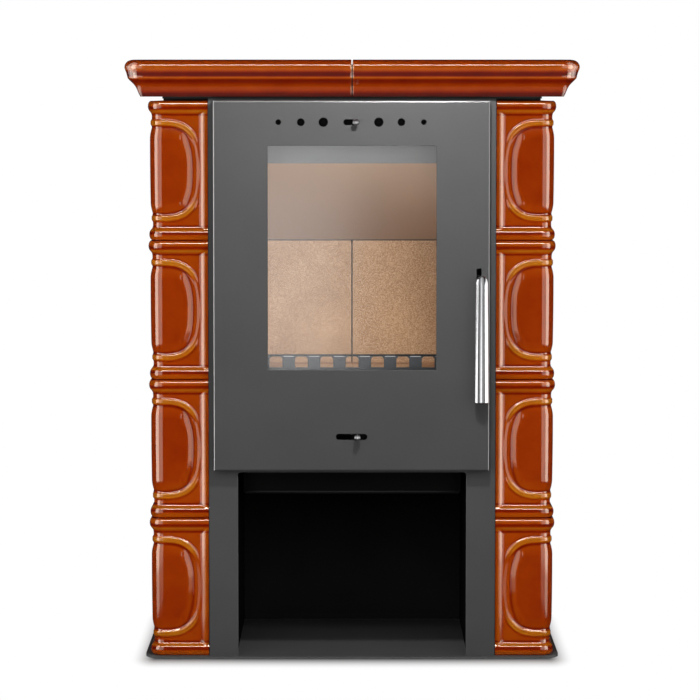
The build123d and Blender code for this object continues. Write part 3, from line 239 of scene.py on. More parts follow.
def mix_shaders(tree, factor, first, second):
    """The first shader where the factor is 0, the second where it is 1."""
    node = tree.nodes.new("ShaderNodeMixShader")
    for place, socket in enumerate((factor, first, second)):
        tree.links.new(socket, node.inputs[place])
    return node.outputs[0]


def dress(tree, shader, colour, roughness, normal):
    """Links what every finish varies over its surface."""
    tree.links.new(colour, shader.inputs["Base Color"])
    tree.links.new(roughness, shader.inputs["Roughness"])
    tree.links.new(normal, shader.inputs["Normal"])


# ---------- finishes
def glaze_finish():
    """Amber lead glaze over brown clay: thin on ridges, pooled dark in grooves; on the crown's cove its run also
    holds painted light.
    """
    material, tree, shader = new_material("amber_glaze")
    run = add_node(tree, "ShaderNodeAttribute", attribute_name="glaze_run")
    fine, broad = grain(tree, 420.0, 22.0)
    total = calculate(tree, "ADD", run.outputs["Fac"], span(tree, broad, -0.10, 0.10))
    colour = ramp(tree, total, (
        (0.0, (0.050, 0.0010, 0.0)),
        (0.20, (0.115, 0.0030, 0.0)),
        (0.38, (0.215, 0.0130, 0.0)),
        (0.54, (0.310, 0.0350, 0.0005)),
        (0.70, (0.385, 0.0730, 0.0015)),
        (0.86, (0.460, 0.1500, 0.0060)),
        (1.0, (0.560, 0.2300, 0.0160)),
    ))
    dress(tree, shader, colour, span(tree, fine, 0.055, 0.085), bump(tree, broad, 0.003, 0.002))
    shader.inputs["IOR"].default_value = 1.62
    shader.inputs["Specular Tint"].default_value = (1.0, 0.84, 0.68, 1)
    return material


def paint_finish(name, colour, tint, roughness, fine_scale, depth, specular):
    """Sprayed heat-proof paint with its fine texture and faint patches."""
    material, tree, shader = new_material(name)
    fine, broad = grain(tree, fine_scale, 9.0)
    dress(tree, shader, ramp(tree, broad, ((0.3, colour), (0.7, tint))),
          span(tree, fine, roughness - 0.06, roughness + 0.06), bump(tree, fine, depth, 0.0004))
    shader.inputs["Specular IOR Level"].default_value = specular
    return material


def metal_finish(name, colour, tint, roughness, fine_scale, depth):
    """Bare metal with drawn grain and slight patches of colour."""
    material, tree, shader = new_material(name)
    fine, broad = grain(tree, fine_scale, 26.0)
    dress(tree, shader, ramp(tree, broad, ((0.32, colour), (0.68, tint))),
          span(tree, fine, roughness - 0.05, roughness + 0.07), bump(tree, fine, depth, 0.0003))
    shader.inputs["Metallic"].default_value = 1.0
    return material


def lining_finish():
    """Pressed vermiculite board: warm, sandy and dull."""
    material, tree, shader = new_material("pressed_lining")
    fine, broad = grain(tree, 640.0, 14.0)
    colour = ramp(tree, calculate(tree, "ADD", fine, span(tree, broad, -0.10, 0.10)), (
        (0.30, (0.245, 0.125, 0.058)),
        (0.44, (0.400, 0.231, 0.117)),
        (0.56, (0.480, 0.295, 0.157)),
        (0.70, (0.660, 0.448, 0.272)),
    ))
    dress(tree, shader, colour, span(tree, fine, 0.75, 0.95), bump(tree, fine, 0.10, 0.0006))
    shader.inputs["Specular IOR Level"].default_value = 0.1
    return material


def fibre_finish():
    """Knitted glass-fibre rope and tape."""
    material, tree, shader = new_material("seal_fibre")
    fine, broad = grain(tree, 900.0, 40.0)
    dress(tree, shader, ramp(tree, fine, ((0.3, (0.10, 0.10, 0.10)), (0.7, (0.34, 0.33, 0.31)))),
          span(tree, broad, 0.8, 0.95), bump(tree, fine, 0.6, 0.001))
    return material


def pane_finish():
    """Clear heat-proof glass that mirrors where a ray enters it and lets lamp light into the fire room."""
    material, tree, shader = new_material("stove_glass")
    broad = grain(tree, 300.0, 6.0)[1]
    tree.links.new(ramp(tree, broad, ((0.3, (0.97, 0.975, 0.975)), (0.7, (0.99, 0.99, 0.985)))),
                   shader.inputs["Base Color"])
    tree.links.new(span(tree, broad, 0.148, 0.152), shader.inputs["Coat Roughness"])
    inside = tree.nodes.new("ShaderNodeNewGeometry").outputs["Backfacing"]
    tree.links.new(calculate(tree, "LESS_THAN", inside, 0.5), shader.inputs["Coat Weight"])
    shader.inputs["Roughness"].default_value = 0.0
    shader.inputs["Transmission Weight"].default_value = 1.0
    shader.inputs["IOR"].default_value = 1.02
    shader.inputs["Coat IOR"].default_value = 1.6
    clear = tree.nodes.new("ShaderNodeBsdfTransparent")
    rays = tree.nodes.new("ShaderNodeLightPath")
    both = mix_shaders(tree, rays.outputs["Is Shadow Ray"], shader.outputs[0], clear.outputs[0])
    tree.links.new(both, tree.nodes["Material Output"].inputs["Surface"])
    return material


# colour, colour of its patches, roughness, grain per metre, the grain's depth, specular level
PAINTS = {
    "grey_paint": ((0.039, 0.039, 0.0395), (0.043, 0.0428, 0.0428), 0.5, 900.0, 0.25, 0.25),
    "black_paint": ((0.016, 0.016, 0.016), (0.021, 0.021, 0.021), 0.6, 700.0, 0.2, 0.2),
    # near-black that stands in for shade in holes, recesses and gaps, and colours one dark joint
    "soot_black": ((0.003, 0.003, 0.003), (0.004, 0.004, 0.004), 0.8, 700.0, 0.2, 0.02),
    "heat_steel": ((0.095, 0.097, 0.100), (0.125, 0.124, 0.124), 0.55, 400.0, 0.05, 0.5),
    "guard_steel": ((0.022, 0.026, 0.031), (0.030, 0.034, 0.038), 0.45, 400.0, 0.2, 0.3),
    # lighter paint that stands in for highlights on edges
    "worn_paint": ((0.070, 0.070, 0.071), (0.084, 0.084, 0.084), 0.4, 900.0, 0.2, 0.4),
    # smoother, glossier paint for the door's folds, a little lighter as a painted highlight
    "fold_paint": ((0.045, 0.045, 0.046), (0.050, 0.050, 0.050), 0.32, 900.0, 0.1, 0.9),
    "smooth_lining": ((0.43, 0.270, 0.155), (0.47, 0.295, 0.175), 0.85, 60.0, 0.02, 0.1),
}
# the same, without a specular level
METALS = {
    "bare_steel": ((0.42, 0.42, 0.43), (0.50, 0.50, 0.50), 0.38, 500.0, 0.2),
    "satin_steel": ((0.56, 0.56, 0.57), (0.62, 0.62, 0.62), 0.32, 600.0, 0.05),
    "polished_steel": ((0.50, 0.50, 0.51), (0.54, 0.54, 0.55), 0.14, 600.0, 0.05),
    "cast_iron": ((0.07, 0.07, 0.07), (0.10, 0.10, 0.10), 0.6, 500.0, 0.6),
}
finishes = {name: paint_finish(name, *values) for name, values in PAINTS.items()}
finishes.update({name: metal_finish(name, *values) for name, values in METALS.items()})
finishes.update(glaze=glaze_finish(), lining=lining_finish(), seal_fibre=fibre_finish(), stove_glass=pane_finish())

# nodes that look different from the rest of their record's slot; the air slides and the niche liner are painted
# near-black as painted shade
SPECIAL = {
    "log_guard": "guard_steel",
    "top_slider": "soot_black",
    "low_slider": "soot_black",
    "niche_liner": "soot_black",
    "baffle": "smooth_lining",
}
for node, obj in nodes.items():
    obj.data.materials.clear()
    obj.data.materials.append(finishes[SPECIAL.get(node, slots[node])])


# ---------- tile and crown moulds
def bead_and_neck(height):
    """Set back of the bead and the cove beside it, at a height above the tile's edge."""
    off = height - BEAD_CREST
    if off < BEAD_END:
        return BEAD_RISE * (1 - sqrt(max(0.0, 1 - (off / BEAD_HALF) ** 2)))
    start = BEAD_RISE * (1 - sqrt(1 - (BEAD_END / BEAD_HALF) ** 2))
    share = min(1.0, (off - BEAD_END) / (NECK - BEAD_CREST - BEAD_END))
    return start + (FIELD - start) * (1 - (1 - share) ** 2)


def upright_roll(from_side):
    """Rise of the upright swelling along a tile's side, at a distance from that side."""
    if from_side < ROLL_CREST:
        return ROLL_RISE - ROLL_FALL * (1 - from_side / ROLL_CREST) ** 2
    share = (from_side - ROLL_CREST) / (ROLL_FOOT - ROLL_CREST)
    return ROLL_RISE * (0.5 + 0.5 * cos(pi * share)) if share < 1 else 0.0


def soft_least(first, second, reach=2.0):
    """The smaller of two set backs, eased where they meet, as glaze does."""
    gap = max(reach - abs(first - second), 0.0) / reach
    return min(first, second) - gap * gap * reach / 4


def from_oval(across, up, half_width):
    """Distance outside the medallion's ring, less than nothing inside it, and its share of the oval."""
    x, y = abs(across) / half_width, abs(up) / OVAL_HALF_Z
    total = x ** OVAL_POWER + y ** OVAL_POWER
    if total < 1e-6:
        return -OVAL_HALF_Z, 0.0
    size = total ** (1 / OVAL_POWER)
    spread = total ** (1 / OVAL_POWER - 1)
    slope = sqrt((spread * x ** (OVAL_POWER - 1) / half_width) ** 2
                 + (spread * y ** (OVAL_POWER - 1) / OVAL_HALF_Z) ** 2)
    return (size - 1) / slope, size


def hump(value, middle, half):
    """1 at the middle, nothing beyond half a width from it."""
    return max(0.0, 1 - ((value - middle) / half) ** 2)


def ring_side(across, up, half_width):
    """1 along the ring's upright sides, 0 at its ends, eased between them."""
    if abs(across) <= half_width / 2:
        return 0.0
    share = min(1.0, max(0.0, (RING_SIDE - abs(up)) / SIDE_EASE))
    return share * share * (3 - 2 * share)


def tile_relief(across, height, from_side, half_width):
    """Set back of a tile's glazed face behind the bead's face, and how thin its glaze runs there."""
    edge = min(height, TILE - height)
    base = soft_least(bead_and_neck(edge), FIELD - upright_roll(from_side))
    up = height - TILE / 2
    off, size = from_oval(across, up, half_width)
    beside = ring_side(across, up, half_width)
    thin = sum(change * hump(edge, middle, half) for change, middle, half in EDGE_GLAZE)
    depth = base
    ring = abs(off) / (RING_HALF * (1 - SIDE_NARROW * beside))
    if ring < 1:
        crest = (0.5 + 0.5 * cos(pi * ring)) ** RING_POWER
        dip = RING_DIP * hump(ring, 0.0, DIP_HALF) * (1 - beside)
        depth = min(depth, base - RING_RISE * (1 - SIDE_LOW * beside) * crest + dip)
        thin = max(thin, 0.0) + RING_THIN * (1 - ring) - SIDE_THICK * beside * (1 - ring)
    pillow_edge = PILLOW_EDGE + PILLOW_IN * beside
    inside = -pillow_edge - off
    if inside > 0:
        upward = abs(up) / OVAL_HALF_Z / max(size, 0.01)
        share = min(1.0, inside / (PILLOW_RIM + PILLOW_SLOPE * upward ** 3))
        depth = min(depth, base - PILLOW_RISE * sin(pi / 2 * share) - DOME_RISE * (1 - size * size))
        thin = -PILLOW_THICK * share
    thin -= GROOVE_THICK * hump(-off, pillow_edge, GROOVE_HALF)
    return depth + LEAN * (1 - height / TILE), thin


def corner_face(run, set_back):
    """Plan point on a corner tile: run is the way round from one leg's end to the other."""
    if run < STRAIGHT:
        return LEG - run, set_back
    if run > STRAIGHT + ROUND:
        return set_back, BEAD_R + run - STRAIGHT - ROUND
    turn = -pi / 2 - (run - STRAIGHT) / BEAD_R
    radius = BEAD_R - set_back
    if radius < 0:
        return set_back, set_back
    return BEAD_R + radius * cos(turn), BEAD_R + radius * sin(turn)


def corner_relief(run, height):
    """Relief of a corner tile; its medallion's middle spans the rounded edge."""
    from_middle = abs(run - (STRAIGHT + ROUND / 2))
    across = max(0.0, from_middle - ROUND / 2)
    return tile_relief(across, height, STRAIGHT - across, CORNER_OVAL)


def full_relief(run, height):
    """Relief of a side tile, with its run counted from its middle."""
    return tile_relief(run, height, TILE / 2 - abs(run), FULL_OVAL)


def spread(stops):
    """Places between (place, steps) stops, each stretch in its own number of even steps."""
    places = [stops[0][0]]
    for (start, steps), (end, _) in zip(stops, stops[1:]):
        for step in range(1, steps + 1):
            places.append(start + (end - start) * step / steps)
    return places


def relief_grid(runs, heights):
    """A grid to be laid over a form, its vertices by column and row, and their layer for the glaze's run."""
    bm = bmesh.new()
    across, up = len(runs) - 1, len(heights) - 1
    layer = bm.verts.layers.float.new("glaze_run")
    bmesh.ops.create_grid(bm, x_segments=across, y_segments=up, size=1)
    placed = {}
    for vert in bm.verts:
        column = round((vert.co.x + 1) / 2 * across)
        row = round((vert.co.y + 1) / 2 * up)
        placed[column, row] = vert
    return bm, placed, layer


def new_verts(made):
    """The vertices that an extrude made."""
    return [item for item in made["geom"] if isinstance(item, bmesh.types.BMVert)]


def finished_mesh(bm, name, material):
    """The mesh of a bmesh, with its material."""
    mesh = bpy.data.meshes.new(name)
    bm.to_mesh(mesh)
    bm.free()
    mesh.materials.append(material)
    return mesh


def add_object(name, data):
    """An object at the origin, in the scene."""
    obj = bpy.data.objects.new(name, data)
    bpy.context.scene.collection.objects.link(obj)
    return obj


def surroundings(relief_at, run, height, ends):
    """The face's mean set back a little way round a point."""
    mean = 0.0
    for shift_run, shift_height in ((RIDGE_REACH, 0), (-RIDGE_REACH, 0), (0, RIDGE_REACH), (0, -RIDGE_REACH)):
        near_run = min(max(run + shift_run, ends[0]), ends[1])
        near_height = min(max(height + shift_height, 0.0), TILE)
        mean += relief_at(near_run, near_height)[0] / 4
    return mean


def close_tile(bm, placed, layer, runs, heights, face_point):
    """A tile's side walls and back; the back needs points at its foot and top only."""
    rim = [edge for edge in bm.edges if edge.is_boundary]
    for edge in rim:
        edge.smooth = False
    back = dict.fromkeys(new_verts(bmesh.ops.extrude_edge_only(bm, edges=rim)))
    spot = {vert: key for key, vert in placed.items()}
    spare, foot, top = [], {}, {}
    for vert in back:
        partner = next(edge.other_vert(vert) for edge in vert.link_edges if edge.other_vert(vert) not in back)
        column, row = spot[partner]
        x, y = face_point(runs[column], WALL_BACK)
        vert.co = Vector((x, y, heights[row])) * MM
        vert[layer] = HIDDEN_GLAZE
        if row == 0:
            foot[column] = vert
        elif row == len(heights) - 1:
            top[column] = vert
        else:
            spare.append(vert)
    bmesh.ops.dissolve_verts(bm, verts=spare)
    for column in range(len(runs) - 1):
        bm.faces.new((foot[column], foot[column + 1], top[column + 1], top[column]))


def glazed_tile(name, runs, heights, face_point, relief_at):
    """A closed tile: relief face, side walls and back, with the glaze's run on each point."""
    bm, placed, layer = relief_grid(runs, heights)
    for (column, row), vert in placed.items():
        run, height = runs[column], heights[row]
        depth, thin = relief_at(run, height)
        ridge = surroundings(relief_at, run, height, (runs[0], runs[-1])) - depth
        ridge = max(-RIDGE_LIMIT, min(RIDGE_LIMIT, ridge))
        vert[layer] = min(1.0, max(0.0, GLAZE_LEVEL + RIDGE_GAIN * ridge + thin))
        x, y = face_point(run, depth)
        vert.co = Vector((x, y, height)) * MM
    close_tile(bm, placed, layer, runs, heights, face_point)
    bmesh.ops.remove_doubles(bm, verts=bm.verts, dist=SAME)
    for face in bm.faces:
        face.smooth = len(face.verts) == 4 and face.calc_area() < TILE_CELL
    bmesh.ops.recalc_face_normals(bm, faces=bm.faces)
    return finished_mesh(bm, name, finishes["glaze"])


glazed = []


def place_copies(mesh, places):
    """One object for each (node, matrix), each with its place in its own mesh."""
    for node, matrix in places:
        copy = mesh.copy()
        copy.transform(matrix)
        if matrix.determinant() < 0:
            copy.flip_normals()
        copy.update()
        obj = add_object(f"{node}_glazed", copy)
        copy.name = obj.name
        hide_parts(node)
        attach(obj, body_of[node])
        glazed.append(obj)


def on_casing(x, y, level, turn):
    """Where a tile stands, from mm and degrees."""
    return Matrix.Translation(Vector((x, y, level)) * MM) @ Matrix.Rotation(radians(turn), 4, "Z")


# the stops are close where the relief bends
tile_heights = spread(((0, 16), (20, 16), (37, 22), (62, 34), (158, 22), (183, 16), (200, 16), (220, 0)))
corner_runs = spread((
    (0, 12), (14, 32), (STRAIGHT - 12, 6), (STRAIGHT, 22), (STRAIGHT + ROUND, 6),
    (STRAIGHT + ROUND + 12, 32), (2 * STRAIGHT + ROUND - 14, 12), (2 * STRAIGHT + ROUND, 0),
))
full_runs = spread(((-110, 12), (-96, 26), (-62, 22), (62, 26), (96, 12), (110, 0)))
corner_mesh = glazed_tile("corner_mould", corner_runs, tile_heights, corner_face, corner_relief)
full_mesh = glazed_tile("full_mould", full_runs, tile_heights, lambda run, depth: (run, depth), full_relief)

CORNERS = (
    ("front_left", -1, -1, 0),
    ("front_right", 1, -1, 90),
    ("rear_right", 1, 1, 180),
    ("rear_left", -1, 1, 270),
)
corner_places = []
side_places = []
for course in range(COURSES):
    level = BASE_SHEET + course * COURSE
    for place, along_x, along_y, turn in CORNERS:
        corner_places.append((f"corner_tile_{place}_{course + 1}",
                              on_casing(along_x * CASING_W / 2, along_y * CASING_D / 2, level, turn)))
    for place, along_x in (("left", -1), ("right", 1)):
        side_places.append((f"side_tile_{place}_{course + 1}",
                            on_casing(along_x * CASING_W / 2, 0, level, 90 * along_x)))
place_copies(corner_mesh, corner_places)
place_copies(full_mesh, side_places)

# crown section from the cove's foot up over the nose to the top: set back, height, glaze run; the cove's run from 7
# to 20 mm up is set lighter as painted light, for its downward-facing face
CROWN_SECTION = (
    (25.0, 0.0, 0.05), (22.7, 4.0, 0.10), (21.4, 7.0, 0.32), (20.2, 10.3, 0.50), (18.6, 13.4, 0.54),
    (17.0, 16.5, 0.54), (14.0, 20.0, 0.46), (11.0, 23.0, 0.30), (7.8, 26.0, 0.26), (5.4, 28.6, 0.60),
    (4.9, 29.6, 0.70), (4.6, 30.6, 0.62), (4.4, 32.5, 0.18), (3.6, 35.0, 0.12), (2.8, 38.0, 0.24),
    (1.9, 40.3, 0.52), (1.1, 42.0, 0.64), (0.4, 44.0, 0.68), (0.0, 46.0, 0.68), (0.3, 49.0, 0.58),
    (1.3, 51.4, 0.54), (3.0, 53.8, 0.56), (5.2, 55.6, 0.52), (7.6, 56.8, 0.44), (10.0, 57.5, 0.22),
    (14.0, 58.0, 0.30), (28.0, 58.0, 0.46), (60.0, 58.0, 0.48), (CROWN_BAND, 58.0, 0.48),
    (CROWN_BAND, 0.0, 0.1), (60.0, 0.0, 0.1),
)
FLAT_STEP = 12  # stretches of the section that are longer aren't cut
EASED_STEP = 6  # points with a longer stretch beside them stay where they are
CROWN_FACE = 90  # further back is the band's hidden inner side
CROWN_TOP = 50  # higher is the rounding of the crown's top
CROWN_SHARP = 50  # degrees between faces
MANY_SIDES = 5  # an end cap has at least so many sides


def section_step(here, after):
    """How far one point of a section is from another, back and up."""
    return abs(after[0] - here[0]) + abs(after[1] - here[1])


def smoothed(points, rounds=2):
    """A closed section with its corners eased again and again, flat stretches kept."""
    for _ in range(rounds):
        finer = []
        for here, after in zip(points, points[1:] + points[:1]):
            finer.append(here)
            if section_step(here, after) <= FLAT_STEP:
                finer.append(tuple((a + b) / 2 for a, b in zip(here, after)))
        points = list(finer)
        for index, (before, here, after) in enumerate(zip(finer, finer[1:], finer[2:]), 1):
            if max(section_step(before, here), section_step(here, after)) < EASED_STEP:
                points[index] = tuple(b / 4 + h / 2 + a / 4 for b, h, a in zip(before, here, after))
    return points


def crown_point(run, set_back):
    """Plan point on a crown piece: run is the way round from one joint to the other."""
    if run < CROWN_LEG_X:
        x, y = CROWN_LEG_X + CROWN_R - run, set_back
    elif run > CROWN_LEG_X + CROWN_ARC:
        x, y = set_back, CROWN_R + run - CROWN_LEG_X - CROWN_ARC
    elif set_back > CROWN_R:
        x = y = set_back
    else:
        turn = -pi / 2 - (run - CROWN_LEG_X) / CROWN_R
        x = CROWN_R + (CROWN_R - set_back) * cos(turn)
        y = CROWN_R + (CROWN_R - set_back) * sin(turn)
    if set_back > CROWN_R:
        x, y = max(x, set_back), max(y, set_back)
    return x, y


def cap_sweep(bm):
    """Joins a swept section's seam, caps its open ends and gives the ends' edges."""
    bmesh.ops.remove_doubles(bm, verts=bm.verts, dist=SAME)
    ends = [edge for edge in bm.edges if edge.is_boundary]
    bmesh.ops.holes_fill(bm, edges=ends, sides=0)
    for face in bm.faces:
        face.smooth = len(face.verts) < MANY_SIDES
    bmesh.ops.recalc_face_normals(bm, faces=bm.faces)
    return ends


def crown_mesh():
    """A quarter of the crown, swept along one leg, round its corner and along the other leg."""
    section = smoothed(list(CROWN_SECTION))
    way = CROWN_LEG_X + CROWN_ARC + CROWN_LEG_Y
    runs = spread(((0, 3), (4, 20), (CROWN_LEG_X, 30), (CROWN_LEG_X + CROWN_ARC, 14), (way - 4, 3), (way, 0)))
    bm, placed, layer = relief_grid(runs, range(len(section) + 1))
    for (column, row), vert in placed.items():
        set_back, height, glaze = section[row % len(section)]
        run = runs[column]
        from_end = min(run, runs[-1] - run)
        ease = max(0.0, JOINT_EASE - from_end) / JOINT_EASE
        set_back += JOINT_BACK * ease * ease if set_back < CROWN_FACE else 0
        height -= JOINT_DROP * ease * ease if height > CROWN_TOP else 0
        x, y = crown_point(run, set_back)
        vert.co = Vector((x, y, height)) * MM
        vert[layer] = min(1.0, glaze + JOINT_THIN * ease)
    for edge in cap_sweep(bm):
        edge.smooth = False
    for edge in bm.edges:
        if len(edge.link_faces) == 2 and edge.calc_face_angle(0) > radians(CROWN_SHARP):
            edge.smooth = False
    return finished_mesh(bm, "crown_mould", finishes["glaze"])


crown_base = Matrix.Translation(Vector((-CROWN_W / 2, -CROWN_D / 2, CROWN_Z)) * MM)
flip_x = Matrix.Scale(-1, 4, (1, 0, 0))
flip_y = Matrix.Scale(-1, 4, (0, 1, 0))
place_copies(crown_mesh(), (
    ("crown_front_left", crown_base),
    ("crown_front_right", flip_x @ crown_base),
    ("crown_rear_left", flip_y @ crown_base),
    ("crown_rear_right", flip_x @ flip_y @ crown_base),
))


# ---------- handle bar
BAR_X = (193.0, 215.0)
BAR_Y = (-245.0, -234.0)
BAR_Z = (410.5, 612.5)
BAR_DEPTH = BAR_Y[1] - BAR_Y[0]
BAR_TAPER = 0.86  # its width at the top, as a share of its foot's
BAR_TIP = 15.0
TIP_BLUNT = 0.999
TIP_THIN = 0.66
TIP_CURVE = 0.7
TIP_BACK = 1.2
BAR_FOOT = 2  # its edges are eased this far up
FOOT_NARROW = 0.8
FOOT_BACK = 1.0
# section from the left back corner across the front to the right back corner: share across, set back
BAR_SECTION = (
    (-0.85, 11.0), (-0.97, 10.2), (-1.0, 8.6), (-1.0, 6.6), (-0.97, 5.6), (-0.90, 4.7), (-0.80, 3.6),
    (-0.70, 2.5), (-0.62, 1.6), (-0.56, 1.15), (-0.46, 0.75), (-0.36, 0.34), (-0.28, 0.16), (-0.18, 0.06),
    (-0.10, 0.03), (0.02, 0.06), (0.10, 0.14), (0.18, 0.34), (0.28, 0.66), (0.38, 1.0), (0.44, 1.3),
    (0.54, 2.0), (0.68, 3.1), (0.82, 4.2), (0.92, 5.1), (0.99, 6.2), (1.0, 8.6), (0.97, 10.2), (0.85, 11.0),
)


def handle_bar():
    """A polished bar with a raised middle band, narrower to the top and ending in a lancet."""
    low, high = BAR_Z
    stations = spread(((low, 3), (low + BAR_FOOT, 8), (high - BAR_TIP, 14), (high, 0)))
    bm, placed, _ = relief_grid(stations, range(len(BAR_SECTION) + 1))
    middle = sum(BAR_X) / 2
    wide = (BAR_X[1] - BAR_X[0]) / 2
    for (column, row), vert in placed.items():
        share, back = BAR_SECTION[row % len(BAR_SECTION)]
        level = stations[column]
        size = wide * (1 + (BAR_TAPER - 1) * (level - low) / (high - low))
        tip = max(0.0, (level - high + BAR_TIP) / BAR_TIP)
        size *= sqrt(max(0.0, 1 - tip * tip * TIP_BLUNT))
        foot = max(0.0, 1 - (level - low) / BAR_FOOT)
        size -= FOOT_NARROW * foot * foot
        back *= 1 - TIP_THIN * tip ** TIP_CURVE
        eased = FOOT_BACK * foot * foot + TIP_BACK * tip ** 4
        y = BAR_Y[0] + back + eased * (1 - back / BAR_DEPTH)
        vert.co = Vector((middle + share * size, y, level)) * MM
    cap_sweep(bm)
    obj = add_object("polished_bar", finished_mesh(bm, "polished_bar", finishes["polished_steel"]))
    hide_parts("handle_bar")
    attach(obj, body_of["handle_bar"])
    return obj


nodes["handle_bar"] = handle_bar()


# ---------- pieces of the door and the fire room
def new_piece(name, bm, finish, body, look=None):
    """Turns a bmesh into an object that moves with a body; its look may differ from its slot's finish."""
    bmesh.ops.recalc_face_normals(bm, faces=bm.faces)
    obj = add_object(name, finished_mesh(bm, name, finishes[look or finish]))
    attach(obj, body)
    return obj


KNOB_FRONT = -236.6
KNOB_SIDES = 32
# distance from the knob's front, radius
KNOB_SECTION = (
    (0.0, 0.0), (0.06, 1.4), (0.3, 2.7), (0.8, 3.7), (1.6, 4.4), (2.6, 4.65), (9.4, 4.65), (10.2, 4.5),
    (10.8, 4.1), (11.0, 2.7), (13.4, 2.7),
)
# name, the slide it moves with, x, z
KNOBS = (("top_knob", "top_slider", 5.5, 853.0), ("low_knob", "low_slider", 8.4, 356.0))


def slide_knob(name, node, x, z):
    """A small turned knob on the stem of an air slide."""
    bm = bmesh.new()
    points = [bm.verts.new(Vector((radius, KNOB_FRONT + back, 0)) * MM) for back, radius in KNOB_SECTION]
    edges = [bm.edges.new(pair) for pair in zip(points, points[1:])]
    bmesh.ops.spin(bm, geom=points + edges, cent=(0, 0, 0), axis=(0, 1, 0), angle=2 * pi, steps=KNOB_SIDES,
                   use_merge=True)
    bmesh.ops.remove_doubles(bm, verts=bm.verts, dist=SAME)
    bmesh.ops.translate(bm, verts=bm.verts, vec=Vector((x, 0, z)) * MM)
    for face in bm.faces:
        face.smooth = True
    return new_piece(name, bm, "polished_steel", body_of[node], "satin_steel")


knobs = [slide_knob(*knob) for knob in KNOBS]

SKIN_X = (-219.0, 217.0)
SKIN_Z = (302.0, 887.0)
SKIN_FACE = -222.25
SKIN_BACK = -218.6
SKIN_FOLD = 2.6
FOLD_STEPS = 5
FOLD_REACH = 2.7  # the fold's faces lie within this of the skin's outline
MITRE = 1e-5  # edges that run further than this both across and up are mitres, m
VIEW_X = 133.0
VIEW_Z = (462.0, 816.0)
VIEW_FOLD = 0.8
VIEW_DEEP = 6.0
HOLE_DEEP = 1.6
HOLE_SIDES = 36
AIR_MIDDLE = -1.6
AIR_HOLES = ((43.6, 7.6), (79.0, 6.3), (114.4, 4.6))  # distance from the middle, radius
AIR_LEVEL = 853.0
SLOT_SIDES = 32
TOP_CUT = (-1.2, 853.0, 7.9, 4.6)  # middle's x and z, half of its straight stretch, radius of its ends
LOW_CUT = (-0.8, 356.3, 20.0, 4.8)
LEVER_CUT = (200.2, 606.5)
LEVER_CUT_HALF = (4.0, 16.5)
# where the holes' insides are painted black as painted shade, on the skin and on the door leaf behind it
SHADE_ROW = 9
SHADE_ROUND = 0.6
SHADE_TOP_CUT = (0.0, 12.0)
SHADE_LOW_CUT = (27, 6)  # half width, half height
STEEP = 0.7


def flat_loop(bm, segments, place, half_x, half_z, stretch=0.0):
    """A loop in the door's plane round a point; a stretch pulls it into a slot, four segments make a rectangle."""
    turn = Matrix.Rotation(pi / 2, 4, "X")
    made = bmesh.ops.create_circle(bm, segments=segments, radius=1.0, matrix=turn)
    for index, vert in enumerate(made["verts"]):
        x, z = vert.co.x, vert.co.z
        if segments == 4:
            x, z = (-1, 1, 1, -1)[index], (-1, -1, 1, 1)[index]
        side = stretch if x > 0 else -stretch
        vert.co = Vector((place[0] + x * half_x + side, SKIN_FACE, place[1] + z * half_z)) * MM
    return made["verts"]


def open_edges(bm, verts):
    """A loop's edges that have a face on one side only."""
    inside = set(verts)
    return [edge for edge in bm.edges if edge.is_boundary and inside.issuperset(edge.verts)]


def fold_back(bm, verts, centre, out, radius, back):
    """Rolls a loop's edge over a rounded fold, outwards or inwards, and runs it back from the face."""
    edges = open_edges(bm, verts)
    source = {vert: vert.co.copy() for vert in verts}
    for step in range(1, FOLD_STEPS + 2):
        angle = pi / 2 * min(step, FOLD_STEPS) / FOLD_STEPS
        depth = radius * (1 - cos(angle)) if step <= FOLD_STEPS else back
        made = bmesh.ops.extrude_edge_only(bm, edges=edges)
        moved = {}
        for vert in new_verts(made):
            origin = next(edge.other_vert(vert) for edge in vert.link_edges if edge.other_vert(vert) in source)
            base = moved[vert] = source[origin]
            side_x = 1 if base.x > centre[0] * MM else -1
            side_z = 1 if base.z > centre[1] * MM else -1
            vert.co = base + Vector((side_x * out * radius * sin(angle), depth,
                                     side_z * out * radius * sin(angle))) * MM
        source = moved
        edges = [item for item in made["geom"] if isinstance(item, bmesh.types.BMEdge)]


